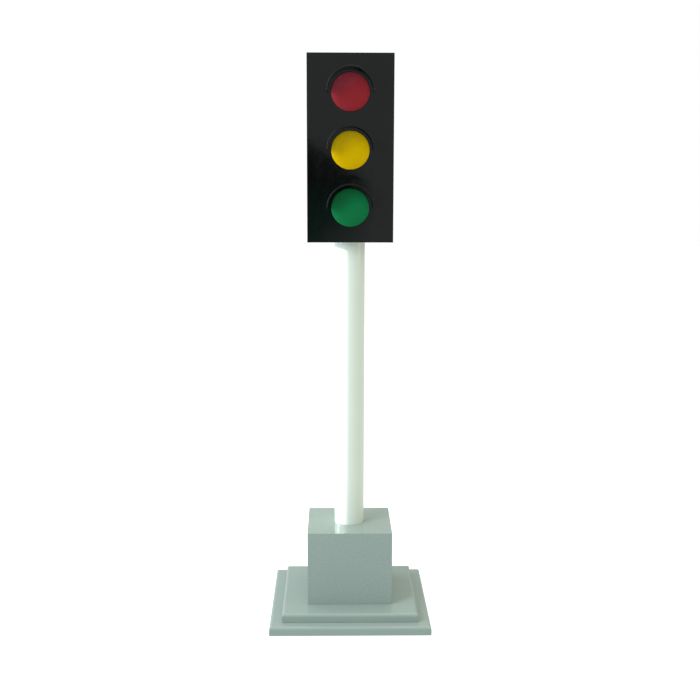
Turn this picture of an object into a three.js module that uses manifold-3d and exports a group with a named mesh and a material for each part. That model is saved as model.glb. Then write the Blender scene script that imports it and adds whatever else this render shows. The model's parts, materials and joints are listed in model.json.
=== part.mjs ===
// A small three-aspect traffic signal on a round pole with a stepped timber plinth.
// Millimetres, +Z up, the lamps face -Y. The origin is the centre of the plinth's underside.
import * as THREE from "three";
import { ConvexGeometry } from "three/addons/geometries/ConvexGeometry.js";
import { mergeVertices } from "three/addons/utils/BufferGeometryUtils.js";
import Module from "manifold-3d";

// ---------------------------------------------------------------- driving dimensions

const CLEARANCE = 0.3; // between a piece and the hole or seat it sits in
const FINE = 32; // facets round the pole and the lens openings
const MEDIUM = 24; // facets round the lenses, reflectors and knobs
const COARSE = 16; // facets round fasteners and small turned parts
const COARSEST = 12; // facets round shanks, pins, spindles and sheet outlines

// Plinth: two square boards with a rounded top edge.
const BASE_WIDTH = 405;
const STEP_WIDTH = 344;
const BOARD = 22;
const BOARD_ROUND = 8;

// Block: a hollow box of five mitred boards, open underneath.
const BLOCK_WIDTH = 216;
const BLOCK_HEIGHT = 189;
const BLOCK_WALL = 15;

// Pole: a steel tube that runs down inside the block.
const POLE_RADIUS = 38.05;
const POLE_WALL = 2;
const RING_HEIGHT = 5; // the part of the top flange that shows under the head
const CABLE_HOLE_RADIUS = 8;

// Head: a box with a flat front sheet and a hinged back.
const HEAD_WIDTH = 212;
const HEAD_HEIGHT = 455;
const HEAD_DEPTH = 130;
const HEAD_BOTTOM = 968;
const HEAD_WALL = 5;
const DOOR_THICKNESS = 4;
const SEAL_THICKNESS = 2;

// Optics: three round lenses, each under a half-round hood.
const LENS_PITCH = 139;
const LENS_DROP = 3; // the middle lens sits this far below the middle of the head
const LENS_OPENING = 47.5;
const HOOD_RADIUS = 58;
const HOOD_WALL = 2.5;
const HOOD_REACH = 45;

const OVERCUT = 1; // how far a cutting tool or a joined piece runs past the face it meets

// Fasteners: M8 hexagon bolts.
const BOLT_RADIUS = 4;
const BOLT_HEAD_RADIUS = 7.5;
const BOLT_HEAD_HEIGHT = 5.3;
const WASHER_RADIUS = 8;
const WASHER_THICKNESS = 1.6;
const BOLT_HOLE = BOLT_RADIUS + CLEARANCE;
const HEXAGON = 6;

// ---------------------------------------------------------------- places worked out from them

const STEP_BOTTOM = BOARD;
const BLOCK_BOTTOM = 2 * BOARD;
const BLOCK_TOP = BLOCK_BOTTOM + BLOCK_HEIGHT;
const BLOCK_HALF = BLOCK_WIDTH / 2;
const POLE_TOP = HEAD_BOTTOM - RING_HEIGHT;
const HEAD_FRONT = -HEAD_DEPTH / 2;
const HEAD_BACK = HEAD_DEPTH / 2;
const SHEET_BACK = HEAD_FRONT + HEAD_WALL;
const DOOR_INSIDE = HEAD_BACK - DOOR_THICKNESS;
const SHELL_BACK = DOOR_INSIDE - SEAL_THICKNESS;
const HEAD_MIDDLE = HEAD_BOTTOM + HEAD_HEIGHT / 2;
const HEAD_FLOOR = HEAD_BOTTOM + HEAD_WALL;
const LENS_HEIGHTS = {
  red: HEAD_MIDDLE - LENS_DROP + LENS_PITCH,
  amber: HEAD_MIDDLE - LENS_DROP,
  green: HEAD_MIDDLE - LENS_DROP - LENS_PITCH,
};

// ---------------------------------------------------------------- finishes

function finish(color, roughness, metalness = 0) {
  return new THREE.MeshStandardMaterial({ color, roughness, metalness });
}

const FINISH = {
  greyPaint: finish(0x93a49c, 0.3),
  whitePaint: finish(0xe4e9e2, 0.25),
  blackGloss: finish(0x1b1e1d, 0.08),
  red: finish(0x9c1f2b, 0.2),
  amber: finish(0xd2a800, 0.2),
  green: finish(0x0f7542, 0.2),
  rubber: finish(0x151515, 0.8),
  spunAluminium: finish(0xc9cccd, 0.25, 1),
  frostedGlass: finish(0xf2f0ea, 0.3),
  porcelain: finish(0xe9e6dd, 0.35),
  zinc: finish(0xb4b8ba, 0.35, 1),
  chrome: finish(0xd8dadc, 0.1, 1),
  greySheath: finish(0x6f7375, 0.6),
  circuitGreen: finish(0x1f5a36, 0.5),
  switchBlack: finish(0x18191a, 0.35),
  nylon: finish(0xdedcd2, 0.5),
};

// ---------------------------------------------------------------- joining and cutting

const wasm = await Module();
wasm.setup();

function toSolid(geometry) {
  const bare = new THREE.BufferGeometry();
  const source = geometry.index ? geometry.toNonIndexed() : geometry;
  bare.setAttribute("position", source.getAttribute("position").clone());
  const merged = mergeVertices(bare, 1e-3);
  return new wasm.Manifold(
    new wasm.Mesh({
      numProp: 3,
      vertProperties: merged.attributes.position.array,
      triVerts: new Uint32Array(merged.index.array),
    }),
  );
}

function toGeometry(solid) {
  const mesh = solid.getMesh();
  const stride = mesh.numProp;
  const position = new Float32Array(mesh.numVert * 3);
  for (let i = 0; i < mesh.numVert; i++) {
    position.set(mesh.vertProperties.subarray(i * stride, i * stride + 3), i * 3);
  }
  const geometry = new THREE.BufferGeometry();
  geometry.setAttribute("position", new THREE.BufferAttribute(position, 3));
  geometry.setIndex(new THREE.BufferAttribute(mesh.triVerts, 1));
  geometry.computeVertexNormals();
  return geometry;
}

function cut(geometry, ...tools) {
  return toGeometry(tools.reduce((rest, tool) => rest.subtract(toSolid(tool)), toSolid(geometry)));
}

function join(first, ...others) {
  return toGeometry(others.reduce((all, other) => all.add(toSolid(other)), toSolid(first)));
}

// ---------------------------------------------------------------- basic shapes

// A box from its lowest to its highest corner.
function box(low, high) {
  const size = high.map((value, axis) => value - low[axis]);
  const middle = high.map((value, axis) => (value + low[axis]) / 2);
  return new THREE.BoxGeometry(...size).translate(...middle);
}

// A solid of revolution about +Z from a list of [radius, height].
function turnedUp(profile, segments = COARSE) {
  const points = profile.map(([radius, height]) => new THREE.Vector2(radius, height));
  return new THREE.LatheGeometry(points, segments).rotateX(Math.PI / 2);
}

// A solid of revolution about +Y from a list of [radius, y].
function turnedBack(profile, segments = COARSE) {
  const points = profile.map(([radius, along]) => new THREE.Vector2(radius, along));
  return new THREE.LatheGeometry(points, segments);
}

// A plain cylinder about +Z.
function post(radius, bottom, top, segments = COARSE) {
  return turnedUp([[0, bottom], [radius, bottom], [radius, top], [0, top]], segments);
}

// A plain cylinder about +Y.
function rod(radius, front, back, segments = COARSE) {
  return turnedBack([[0, front], [radius, front], [radius, back], [0, back]], segments);
}

// A plain cylinder about +X, centred on the origin.
function crossRod(radius, length, segments = COARSE) {
  return new THREE.CylinderGeometry(radius, radius, length, segments).rotateZ(Math.PI / 2);
}

// A ring about +Z.
function collar(inner, outer, bottom, top, segments = COARSE) {
  const profile = [[inner, bottom], [outer, bottom], [outer, top], [inner, top], [inner, bottom]];
  return turnedUp(profile, segments);
}

// A shape drawn in X and Z and given thickness from y = front to y = back.
function sheet(shape, front, back, curveSegments = 6) {
  const options = { depth: back - front, bevelEnabled: false, curveSegments };
  return new THREE.ExtrudeGeometry(shape, options).rotateX(Math.PI / 2).translate(0, back, 0);
}

// A rectangle centred on a point, with its corners rounded.
function rectangle(width, height, x = 0, z = 0, round = 0) {
  const left = x - width / 2;
  const low = z - height / 2;
  const shape = new THREE.Shape();
  if (round === 0) {
    shape.moveTo(left, low).lineTo(left + width, low);
    return shape.lineTo(left + width, low + height).lineTo(left, low + height);
  }
  shape.absarc(left + width - round, low + round, round, -Math.PI / 2, 0);
  shape.absarc(left + width - round, low + height - round, round, 0, Math.PI / 2);
  shape.absarc(left + round, low + height - round, round, Math.PI / 2, Math.PI);
  shape.absarc(left + round, low + round, round, Math.PI, 1.5 * Math.PI);
  return shape;
}

function circleHole(radius, x, z) {
  return new THREE.Path().absarc(x, z, radius, 0, 2 * Math.PI, true);
}

// The four corners of a square, as [x, y].
function corners(half) {
  return [[-half, -half], [half, -half], [half, half], [-half, half]];
}

// A hexagon bolt with its washer, pointing down, with the washer's underside at z = seat.
function bolt(seat, reach) {
  const top = seat + WASHER_THICKNESS;
  const head = post(BOLT_HEAD_RADIUS, top, top + BOLT_HEAD_HEIGHT, HEXAGON);
  const washer = post(WASHER_RADIUS, seat, top);
  const shank = post(BOLT_RADIUS, seat - reach, top, COARSEST);
  return join(head, washer, shank);
}

// ---------------------------------------------------------------- the group and its parts

const signal = new THREE.Group();

function part(name, geometry, material, x = 0, y = 0, z = 0) {
  const mesh = new THREE.Mesh(geometry, material);
  mesh.name = name;
  mesh.position.set(x, y, z);
  signal.add(mesh);
}

// ---------------------------------------------------------------- plinth

const FLANGE_WIDTH = 100;
const FLANGE_THICKNESS = 6;
const FLANGE_BOLT_SPACING = 38; // from the pole's axis, along X and along Y
const FLANGE_BOLT_REACH = 38;
const FLANGE_NECK = 45;
const FLANGE_NECK_WALL = 5;
const WASHER_ROOM = 20; // height cut free over each flange bolt's washer
const ROUND_STEPS = 4; // facets in the boards' rounded edge

// A square board: four facets of a turned shape, with a quarter-round top edge.
function roundedBoard(width, bottom) {
  const half = width / 2;
  const top = bottom + BOARD;
  const profile = [[0, bottom], [half, bottom]];
  for (let step = 0; step <= ROUND_STEPS; step++) {
    const angle = (step / ROUND_STEPS) * (Math.PI / 2);
    profile.push([
      half - BOARD_ROUND * (1 - Math.cos(angle)),
      top - BOARD_ROUND * (1 - Math.sin(angle)),
    ]);
  }
  profile.push([0, top]);
  const diagonal = profile.map(([radius, height]) => [radius * Math.SQRT2, height]);
  return turnedUp(diagonal, 4).rotateZ(Math.PI / 4);
}

function flangeBoltHoles(bottom, top) {
  return corners(FLANGE_BOLT_SPACING).map(([x, y]) => post(BOLT_HOLE, bottom, top).translate(x, y, 0));
}

function addPlinth() {
  const boltTip = BLOCK_BOTTOM + FLANGE_THICKNESS - FLANGE_BOLT_REACH;
  const inBase = flangeBoltHoles(boltTip - OVERCUT, BOARD + OVERCUT);
  const inStep = flangeBoltHoles(STEP_BOTTOM - OVERCUT, BLOCK_BOTTOM + OVERCUT);
  part("base_plate", cut(roundedBoard(BASE_WIDTH, 0), ...inBase), FINISH.greyPaint);
  part("step_plate", cut(roundedBoard(STEP_WIDTH, STEP_BOTTOM), ...inStep), FINISH.greyPaint);
}

// ---------------------------------------------------------------- block

const HATCH_WIDTH = 130;
const HATCH_HEIGHT = 112;
const HATCH_RISE = 90; // from the step to the middle of the hatch
const HATCH_MIDDLE = BLOCK_BOTTOM + HATCH_RISE;

// The front board: full size outside, mitred back by the wall's thickness at its sides and top.
function mitredBoard() {
  const inner = BLOCK_HALF - BLOCK_WALL;
  const points = [];
  const levels = [[BLOCK_HALF, -BLOCK_HALF, BLOCK_TOP], [inner, -inner, BLOCK_TOP - BLOCK_WALL]];
  for (const [half, y, top] of levels) {
    for (const x of [-half, half]) {
      points.push(new THREE.Vector3(x, y, BLOCK_BOTTOM), new THREE.Vector3(x, y, top));
    }
  }
  return new ConvexGeometry(points);
}

function mitredLid() {
  const inner = BLOCK_HALF - BLOCK_WALL;
  const outerRing = corners(BLOCK_HALF).map(([x, y]) => new THREE.Vector3(x, y, BLOCK_TOP));
  const innerRing = corners(inner).map(([x, y]) => new THREE.Vector3(x, y, BLOCK_TOP - BLOCK_WALL));
  return new ConvexGeometry([...outerRing, ...innerRing]);
}

function addBlock() {
  const hatch = box(
    [-HATCH_WIDTH / 2, 0, HATCH_MIDDLE - HATCH_HEIGHT / 2],
    [HATCH_WIDTH / 2, BLOCK_WIDTH, HATCH_MIDDLE + HATCH_HEIGHT / 2],
  );
  const poleHole = post(POLE_RADIUS + 2 * CLEARANCE, BLOCK_TOP - 2 * BLOCK_WALL, BLOCK_TOP + OVERCUT, FINE);
  part("block_front_board", mitredBoard(), FINISH.greyPaint);
  part("block_right_board", mitredBoard().rotateZ(Math.PI / 2), FINISH.greyPaint);
  part("block_left_board", mitredBoard().rotateZ(-Math.PI / 2), FINISH.greyPaint);
  part("block_back_board", cut(mitredBoard().rotateZ(Math.PI), hatch), FINISH.greyPaint);
  part("block_top_board", cut(mitredLid(), poleHole), FINISH.greyPaint);
}

// ---------------------------------------------------------------- control panel on the back of the block

const PANEL_WIDTH = 150;
const PANEL_HEIGHT = 132;
const PANEL_THICKNESS = 2;
const PANEL_ROUND = 6;
const PANEL_FACE = BLOCK_HALF + PANEL_THICKNESS;
const CONTROL_OFFSET = 40; // inlet and knob stand this far either side of the switch

// Rocker switch.
const ROCKER_TILT = THREE.MathUtils.degToRad(8);
const ROCKER_PIVOT = PANEL_FACE - 3;
const ROCKER_AXLE_RADIUS = 1.4;
const ROCKER_AXLE_END = 1.2; // how far the axle stands out of each side of the rocker
// The rocker's section, as [y, z] from the pivot.
const ROCKER_PADDLE = [[7, -11.5], [4.2, 0], [7, 11.5], [-2, 9], [-4.5, 0], [-2, -9]];
const SWITCH_TAB = { width: 6.3, height: 1 };
const SWITCH_TAB_OFFSET = 8; // of the middle of each tab, above and below the switch's middle
const TAB_LENGTH = 8;
const BEZEL = { width: 25, height: 33, thickness: 2 };
const SWITCH_BODY = { width: 21.4, height: 29.4, depth: 20 };
const ROCKER_WELL = { width: 17, height: 26, depth: 10 };

// Mains inlet of the three-pin appliance kind.
const INLET_FLANGE = { width: 31, height: 24, thickness: 2.5 };
const INLET_BODY = { width: 26.4, height: 19.4, depth: 22 };
const INLET_WELL = { width: 24, height: 16.2, depth: 15 };
const PIN = { width: 2, height: 4, length: 13 };
const PIN_PLACES = [[-7, -2], [0, 2], [7, -2]]; // [x, z] from the inlet's middle
const INLET_TAB = { width: 1, height: 6.3 };

// Rotary selector.
const BUSH_RADIUS = 3.5;
const SPINDLE_RADIUS = 2;
const KNOB_RADIUS = 12;
const KNOB_HEIGHT = 13;
const KNOB_SKIRT = 1.5; // how far the skirt stands out of the knob, and how deep its slope is
const KNOB_LIFT = 0.5; // between the bush and the knob
const POINTER_WIDTH = 2.4;
const POINTER_STEP = 0.6; // how far the pointer stands out in front of the knob
const SELECTOR_RADIUS = 13;
const SELECTOR_DEPTH = 18;
const BUSH_END = 3; // how far the bush stands out of the panel
const NUT_RADIUS = 6.5;
const NUT_THICKNESS = 2.3;
const SPINDLE_DEPTH = 10;

// A box across the panel, centred at x, from y = front to y = back.
function panelBox(size, x, front, back, z = HATCH_MIDDLE) {
  const halfWidth = size.width / 2;
  const halfHeight = size.height / 2;
  return box([x - halfWidth, front, z - halfHeight], [x + halfWidth, back, z + halfHeight]);
}

function withClearance({ width, height }) {
  return { width: width + 2 * CLEARANCE, height: height + 2 * CLEARANCE };
}

function addServicePanel() {
  const shape = rectangle(PANEL_WIDTH, PANEL_HEIGHT, 0, HATCH_MIDDLE, PANEL_ROUND);
  const depth = [BLOCK_HALF - OVERCUT, PANEL_FACE + OVERCUT];
  const geometry = cut(
    sheet(shape, BLOCK_HALF, PANEL_FACE, 3),
    panelBox(withClearance(INLET_BODY), -CONTROL_OFFSET, ...depth),
    panelBox(withClearance(SWITCH_BODY), 0, ...depth),
    rod(BUSH_RADIUS + CLEARANCE, ...depth).translate(CONTROL_OFFSET, 0, HATCH_MIDDLE),
  );
  part("service_panel", geometry, FINISH.greyPaint);
}

function addMainsInlet() {
  const x = -CONTROL_OFFSET;
  const face = PANEL_FACE + INLET_FLANGE.thickness;
  const floor = face - INLET_WELL.depth;
  const rear = PANEL_FACE - INLET_BODY.depth;
  const shell = cut(
    join(panelBox(INLET_FLANGE, x, PANEL_FACE, face), panelBox(INLET_BODY, x, rear, PANEL_FACE + OVERCUT)),
    panelBox(INLET_WELL, x, floor, face + OVERCUT),
  );
  const pins = PIN_PLACES.map(([dx, dz]) =>
    panelBox(PIN, x + dx, floor - OVERCUT, floor + PIN.length, HATCH_MIDDLE + dz),
  );
  const tabs = PIN_PLACES.map(([dx]) => panelBox(INLET_TAB, x + dx, rear - TAB_LENGTH, rear + OVERCUT));
  part("mains_inlet", join(shell, ...pins, ...tabs), FINISH.switchBlack);
}

function addPowerSwitch() {
  const rear = PANEL_FACE - SWITCH_BODY.depth;
  const face = PANEL_FACE + BEZEL.thickness;
  const axleHole = crossRod(ROCKER_AXLE_RADIUS + CLEARANCE + 0.1, SWITCH_BODY.width - 1, COARSEST)
    .translate(0, ROCKER_PIVOT, HATCH_MIDDLE);
  const body = cut(
    join(panelBox(BEZEL, 0, PANEL_FACE, face), panelBox(SWITCH_BODY, 0, rear, PANEL_FACE + OVERCUT)),
    panelBox(ROCKER_WELL, 0, face - ROCKER_WELL.depth, face + OVERCUT),
    axleHole,
  );
  const tabs = [-SWITCH_TAB_OFFSET, SWITCH_TAB_OFFSET].map((dz) =>
    panelBox(SWITCH_TAB, 0, rear - TAB_LENGTH, rear + OVERCUT, HATCH_MIDDLE + dz),
  );
  part("power_switch_body", join(body, ...tabs), FINISH.switchBlack);

  // The rocker's section is drawn level, and then tilted to "off".
  const section = new THREE.Shape(ROCKER_PADDLE.map(([y, z]) => new THREE.Vector2(y, z)));
  const width = ROCKER_WELL.width - 2 * CLEARANCE;
  const paddle = new THREE.ExtrudeGeometry(section, { depth: width, bevelEnabled: false })
    .translate(0, 0, -width / 2)
    .applyMatrix4(new THREE.Matrix4().set(0, 0, 1, 0, 1, 0, 0, 0, 0, 1, 0, 0, 0, 0, 0, 1));
  const axle = crossRod(ROCKER_AXLE_RADIUS, width + 2 * ROCKER_AXLE_END, COARSEST);
  const rocker = join(paddle, axle).rotateX(ROCKER_TILT);
  part("power_switch_rocker", rocker, FINISH.switchBlack, 0, ROCKER_PIVOT, HATCH_MIDDLE);
}

function addModeSwitch() {
  const bushEnd = PANEL_FACE + BUSH_END;
  const rear = PANEL_FACE - SELECTOR_DEPTH;
  const spindleTip = PANEL_FACE - SPINDLE_DEPTH;
  const body = join(
    rod(SELECTOR_RADIUS, rear, BLOCK_HALF),
    rod(BUSH_RADIUS, rear + OVERCUT, bushEnd),
    rod(NUT_RADIUS, PANEL_FACE, PANEL_FACE + NUT_THICKNESS, HEXAGON),
  );
  const bore = rod(SPINDLE_RADIUS + CLEARANCE, spindleTip - OVERCUT, bushEnd + OVERCUT, COARSEST);
  const bored = cut(body, bore);
  part("mode_switch_body", bored, FINISH.zinc, CONTROL_OFFSET, 0, HATCH_MIDDLE);

  const knobBottom = bushEnd + KNOB_LIFT;
  const knobTop = knobBottom + KNOB_HEIGHT;
  const knob = turnedBack([
    [0, knobBottom],
    [KNOB_RADIUS + KNOB_SKIRT, knobBottom],
    [KNOB_RADIUS + KNOB_SKIRT, knobBottom + 2],
    [KNOB_RADIUS - 1, knobBottom + 3],
    [KNOB_RADIUS - 2, knobTop],
    [0, knobTop],
  ], MEDIUM);
  const pointer = box(
    [-POINTER_WIDTH / 2, knobBottom + OVERCUT, 0],
    [POINTER_WIDTH / 2, knobTop + OVERCUT, KNOB_RADIUS + POINTER_STEP],
  );
  const spindle = rod(SPINDLE_RADIUS, spindleTip, knobBottom + OVERCUT, COARSEST);
  part("mode_knob", join(knob, pointer, spindle), FINISH.switchBlack, CONTROL_OFFSET, 0, HATCH_MIDDLE);
}

// ---------------------------------------------------------------- inside the block

const SUPPLY = { low: [-91, -62, BLOCK_BOTTOM], high: [-54, 52, BLOCK_BOTTOM + 78] };
const CIRCUIT_FACE = 84; // x of the circuit board's mounting face
const CIRCUIT_LOW = [-52, 70];
const CIRCUIT_HIGH = [48, 150];
const CIRCUIT_THICKNESS = 1.6;
const SPACER = { half: 3, inset: 6 }; // square spacers between the circuit board and the block
const VENT = { count: 6, pitch: 14, width: 5, depth: 2, inset: 18, low: 20, high: 14 };
const SUPPLY_TERMINALS = { inset: 6, reach: 12, low: 8, high: 24 };
const RELAY = { count: 3, pitch: 28, length: 20, height: 17, inset: 12, low: 34, high: 18 };
const CHIP = { height: 6, low: 20, high: 28, start: 8, end: 44 };
const TERMINAL_ROW = { height: 12, inset: 16, margin: 2, width: 10 };

function addPowerSupply() {
  const { low, high } = SUPPLY;
  const vents = [];
  for (let slot = 0; slot < VENT.count; slot++) {
    const y = low[1] + VENT.inset + slot * VENT.pitch;
    const start = [high[0] - VENT.depth, y, low[2] + VENT.low];
    vents.push(box(start, [high[0] + OVERCUT, y + VENT.width, high[2] - VENT.high]));
  }
  const { inset, reach } = SUPPLY_TERMINALS;
  const terminals = box(
    [low[0] + inset, high[1] - OVERCUT, low[2] + SUPPLY_TERMINALS.low],
    [high[0] - inset, high[1] + reach, low[2] + SUPPLY_TERMINALS.high],
  );
  part("power_supply", join(cut(box(low, high), ...vents), terminals), FINISH.zinc);
}

// A component that stands out of the circuit board by its height, over a span of y and of z.
function component(height, [front, back], [low, high]) {
  return box([CIRCUIT_FACE - height, front, low], [CIRCUIT_FACE - CIRCUIT_THICKNESS / 2, back, high]);
}

function addController() {
  const [front, low] = CIRCUIT_LOW;
  const [back, high] = CIRCUIT_HIGH;
  const pieces = [box([CIRCUIT_FACE - CIRCUIT_THICKNESS, front, low], [CIRCUIT_FACE, back, high])];
  const wallFace = BLOCK_HALF - BLOCK_WALL;
  const { half, inset } = SPACER;
  for (const y of [front + inset, back - inset]) {
    for (const z of [low + inset, high - inset]) {
      const start = CIRCUIT_FACE - CIRCUIT_THICKNESS / 2;
      pieces.push(box([start, y - half, z - half], [wallFace, y + half, z + half]));
    }
  }
  // Three lamp relays in a row, the timer chip and the two terminal rows.
  for (let relay = 0; relay < RELAY.count; relay++) {
    const y = front + RELAY.inset + relay * RELAY.pitch;
    pieces.push(component(RELAY.height, [y, y + RELAY.length], [high - RELAY.low, high - RELAY.high]));
  }
  const chip = [front + CHIP.start, front + CHIP.end];
  pieces.push(component(CHIP.height, chip, [low + CHIP.low, low + CHIP.high]));
  const row = [front + TERMINAL_ROW.inset, back - TERMINAL_ROW.inset];
  const { height, margin, width } = TERMINAL_ROW;
  pieces.push(component(height, row, [low + margin, low + margin + width]));
  pieces.push(component(height, row, [high - margin - width, high - margin]));
  part("sequence_controller", join(...pieces), FINISH.circuitGreen);
}

// ---------------------------------------------------------------- pole

const CABLE_HOLE_HEIGHT = 132;
const GROMMET_RADIUS = 13;
const CABLE_RADIUS = 4;
const HEAD_BOLT_CIRCLE = 24;
const HEAD_BOLT_REACH = 19;
const CLAMP_PLATE_WIDTH = 90;
const CLAMP_PLATE_THICKNESS = 4;
const SPIGOT_WALL = 5;
const SPIGOT_DEPTH = 40;
const RING_STEP = 0.5; // how far the ring stands out of the pole
const GROMMET_LIP = { step: 1.5, thickness: 2.5 };
const CLAMP_TOP = HEAD_FLOOR + CLAMP_PLATE_THICKNESS;

// The four head bolts stand on a circle round the cable, at 45 degrees to the head's sides.
const HEAD_BOLT_PLACES = corners(HEAD_BOLT_CIRCLE / Math.SQRT2);

function headBoltHoles(bottom, top) {
  return HEAD_BOLT_PLACES.map(([x, y]) => post(BOLT_HOLE, bottom, top, COARSEST).translate(x, y, 0));
}

function addFloorFlange() {
  const plateTop = BLOCK_BOTTOM + FLANGE_THICKNESS;
  const half = FLANGE_WIDTH / 2;
  const plate = box([-half, -half, BLOCK_BOTTOM], [half, half, plateTop]);
  const neckInner = POLE_RADIUS + CLEARANCE;
  const neckTop = plateTop + FLANGE_NECK;
  const neck = collar(neckInner, neckInner + FLANGE_NECK_WALL, plateTop - OVERCUT, neckTop, FINE);
  const holes = flangeBoltHoles(BLOCK_BOTTOM - OVERCUT, plateTop + OVERCUT);
  const washers = corners(FLANGE_BOLT_SPACING).map(([x, y]) =>
    post(WASHER_RADIUS + CLEARANCE, plateTop, plateTop + WASHER_ROOM).translate(x, y, 0),
  );
  part("floor_flange", cut(join(plate, neck), ...holes, ...washers), FINISH.zinc);
  corners(FLANGE_BOLT_SPACING).forEach(([x, y], index) => {
    part(`floor_bolt_${index + 1}`, bolt(0, FLANGE_BOLT_REACH), FINISH.zinc, x, y, plateTop);
  });
}

function addPole() {
  const bottom = BLOCK_BOTTOM + FLANGE_THICKNESS;
  const tube = collar(POLE_RADIUS - POLE_WALL, POLE_RADIUS, bottom, POLE_TOP, FINE);
  const side = crossRod(CABLE_HOLE_RADIUS, POLE_RADIUS / 2).translate(POLE_RADIUS, 0, CABLE_HOLE_HEIGHT);
  part("pole_tube", cut(tube, side), FINISH.whitePaint);
}

function addTopFlange() {
  const spigot = POLE_RADIUS - POLE_WALL - CLEARANCE;
  const profile = [
    [GROMMET_RADIUS, POLE_TOP],
    [spigot - SPIGOT_WALL, POLE_TOP],
    [spigot - SPIGOT_WALL, POLE_TOP - SPIGOT_DEPTH],
    [spigot, POLE_TOP - SPIGOT_DEPTH],
    [spigot, POLE_TOP],
    [POLE_RADIUS + RING_STEP, POLE_TOP],
    [POLE_RADIUS + RING_STEP, HEAD_BOTTOM],
    [GROMMET_RADIUS, HEAD_BOTTOM],
    [GROMMET_RADIUS, POLE_TOP],
  ];
  const holes = headBoltHoles(POLE_TOP - OVERCUT, HEAD_BOTTOM + OVERCUT);
  part("pole_top_flange", cut(turnedUp(profile, FINE), ...holes), FINISH.whitePaint);
}

function addHeadFixings() {
  const half = CLAMP_PLATE_WIDTH / 2;
  const plate = cut(
    box([-half, -half, HEAD_FLOOR], [half, half, CLAMP_TOP]),
    post(GROMMET_RADIUS, HEAD_FLOOR - OVERCUT, CLAMP_TOP + OVERCUT),
    ...headBoltHoles(HEAD_FLOOR - OVERCUT, CLAMP_TOP + OVERCUT),
  );
  part("head_clamp_plate", plate, FINISH.zinc);
  HEAD_BOLT_PLACES.forEach(([x, y], index) => {
    part(`head_bolt_${index + 1}`, bolt(0, HEAD_BOLT_REACH), FINISH.zinc, x, y, CLAMP_TOP);
  });
  const body = GROMMET_RADIUS - CLEARANCE;
  const bore = CABLE_RADIUS + 0.5;
  const bottom = POLE_TOP - 2;
  const lipTop = CLAMP_TOP + GROMMET_LIP.thickness;
  const grommet = turnedUp([
    [bore, bottom],
    [body, bottom],
    [body, CLAMP_TOP + CLEARANCE],
    [body + GROMMET_LIP.step, CLAMP_TOP + CLEARANCE],
    [body + GROMMET_LIP.step, lipTop],
    [bore, lipTop],
    [bore, bottom],
  ]);
  part("cable_grommet", grommet, FINISH.rubber);
}

// ---------------------------------------------------------------- head box

const SEAL_RIM = 4.5; // width of the seal round the head's back opening
const SEAL_MARGIN = 0.5; // the seal and the door stop this far short of the head's outside

function addHeadBox() {
  const frame = rectangle(HEAD_WIDTH, HEAD_HEIGHT, 0, HEAD_MIDDLE);
  frame.holes.push(rectangle(HEAD_WIDTH - 2 * HEAD_WALL, HEAD_HEIGHT - 2 * HEAD_WALL, 0, HEAD_MIDDLE));
  const shell = cut(
    sheet(frame, SHEET_BACK, SHELL_BACK),
    post(GROMMET_RADIUS, HEAD_BOTTOM - OVERCUT, HEAD_FLOOR + OVERCUT),
    ...headBoltHoles(HEAD_BOTTOM - OVERCUT, HEAD_FLOOR + OVERCUT),
  );
  part("head_shell", shell, FINISH.blackGloss);

  const face = rectangle(HEAD_WIDTH, HEAD_HEIGHT, 0, HEAD_MIDDLE);
  for (const height of Object.values(LENS_HEIGHTS)) {
    face.holes.push(circleHole(LENS_OPENING, 0, height));
  }
  part("front_sheet", sheet(face, HEAD_FRONT, SHEET_BACK, FINE / 2), FINISH.blackGloss);

  const width = HEAD_WIDTH - 2 * SEAL_MARGIN;
  const height = HEAD_HEIGHT - 2 * SEAL_MARGIN;
  const seal = rectangle(width, height, 0, HEAD_MIDDLE);
  seal.holes.push(rectangle(width - 2 * SEAL_RIM, height - 2 * SEAL_RIM, 0, HEAD_MIDDLE));
  part("door_seal", sheet(seal, SHELL_BACK, DOOR_INSIDE - CLEARANCE), FINISH.rubber);
}

// ---------------------------------------------------------------- optics

const LENS_WALL = 3;
const LENS_GAP = 0.7; // round the lens, in its opening
const LENS_EDGE = { inset: 2, drop: 1.5 }; // where the dome turns into the shoulder
const LENS_FLANGE = 52;
const LENS_FLANGE_THICKNESS = 2.5;
const LENS_CROWN = HEAD_FRONT - 4.5; // y of the middle of the lens face
const LENS_SHOULDER = HEAD_FRONT - 1;
const LENS_SEAT = SHEET_BACK + 2; // y of the lens flange, behind its seal

// The face of a lens: a shallow dome, as [radius, y] from the middle out to the given radius.
function dome(radius, crown, rise, steps) {
  const points = [];
  for (let step = 0; step <= steps; step++) {
    const share = step / steps;
    points.push([radius * share, crown + rise * share * share]);
  }
  return points;
}

function lens() {
  const body = LENS_OPENING - LENS_GAP;
  const rise = LENS_SHOULDER - LENS_CROWN - LENS_EDGE.drop;
  const outside = dome(body - LENS_EDGE.inset, LENS_CROWN, rise, 3);
  const inside = dome(body - LENS_WALL, LENS_CROWN + LENS_WALL, rise, 2).reverse();
  return turnedBack([
    ...outside,
    [body, LENS_SHOULDER],
    [body, LENS_SEAT],
    [LENS_FLANGE, LENS_SEAT],
    [LENS_FLANGE, LENS_SEAT + LENS_FLANGE_THICKNESS],
    [body - LENS_WALL, LENS_SEAT + LENS_FLANGE_THICKNESS],
    ...inside,
  ], MEDIUM);
}

const REFLECTOR_RIM = LENS_SEAT + LENS_FLANGE_THICKNESS;
const REFLECTOR_WALL = 1.2;
const REFLECTOR_MOUTH = 49;
const REFLECTOR_OUTER = LENS_FLANGE + 2;
const REFLECTOR_NECK = 18;
const REFLECTOR_NECK_LENGTH = 6;
const REFLECTOR_END = 2;
const REFLECTOR_STEPS = 4;

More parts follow.
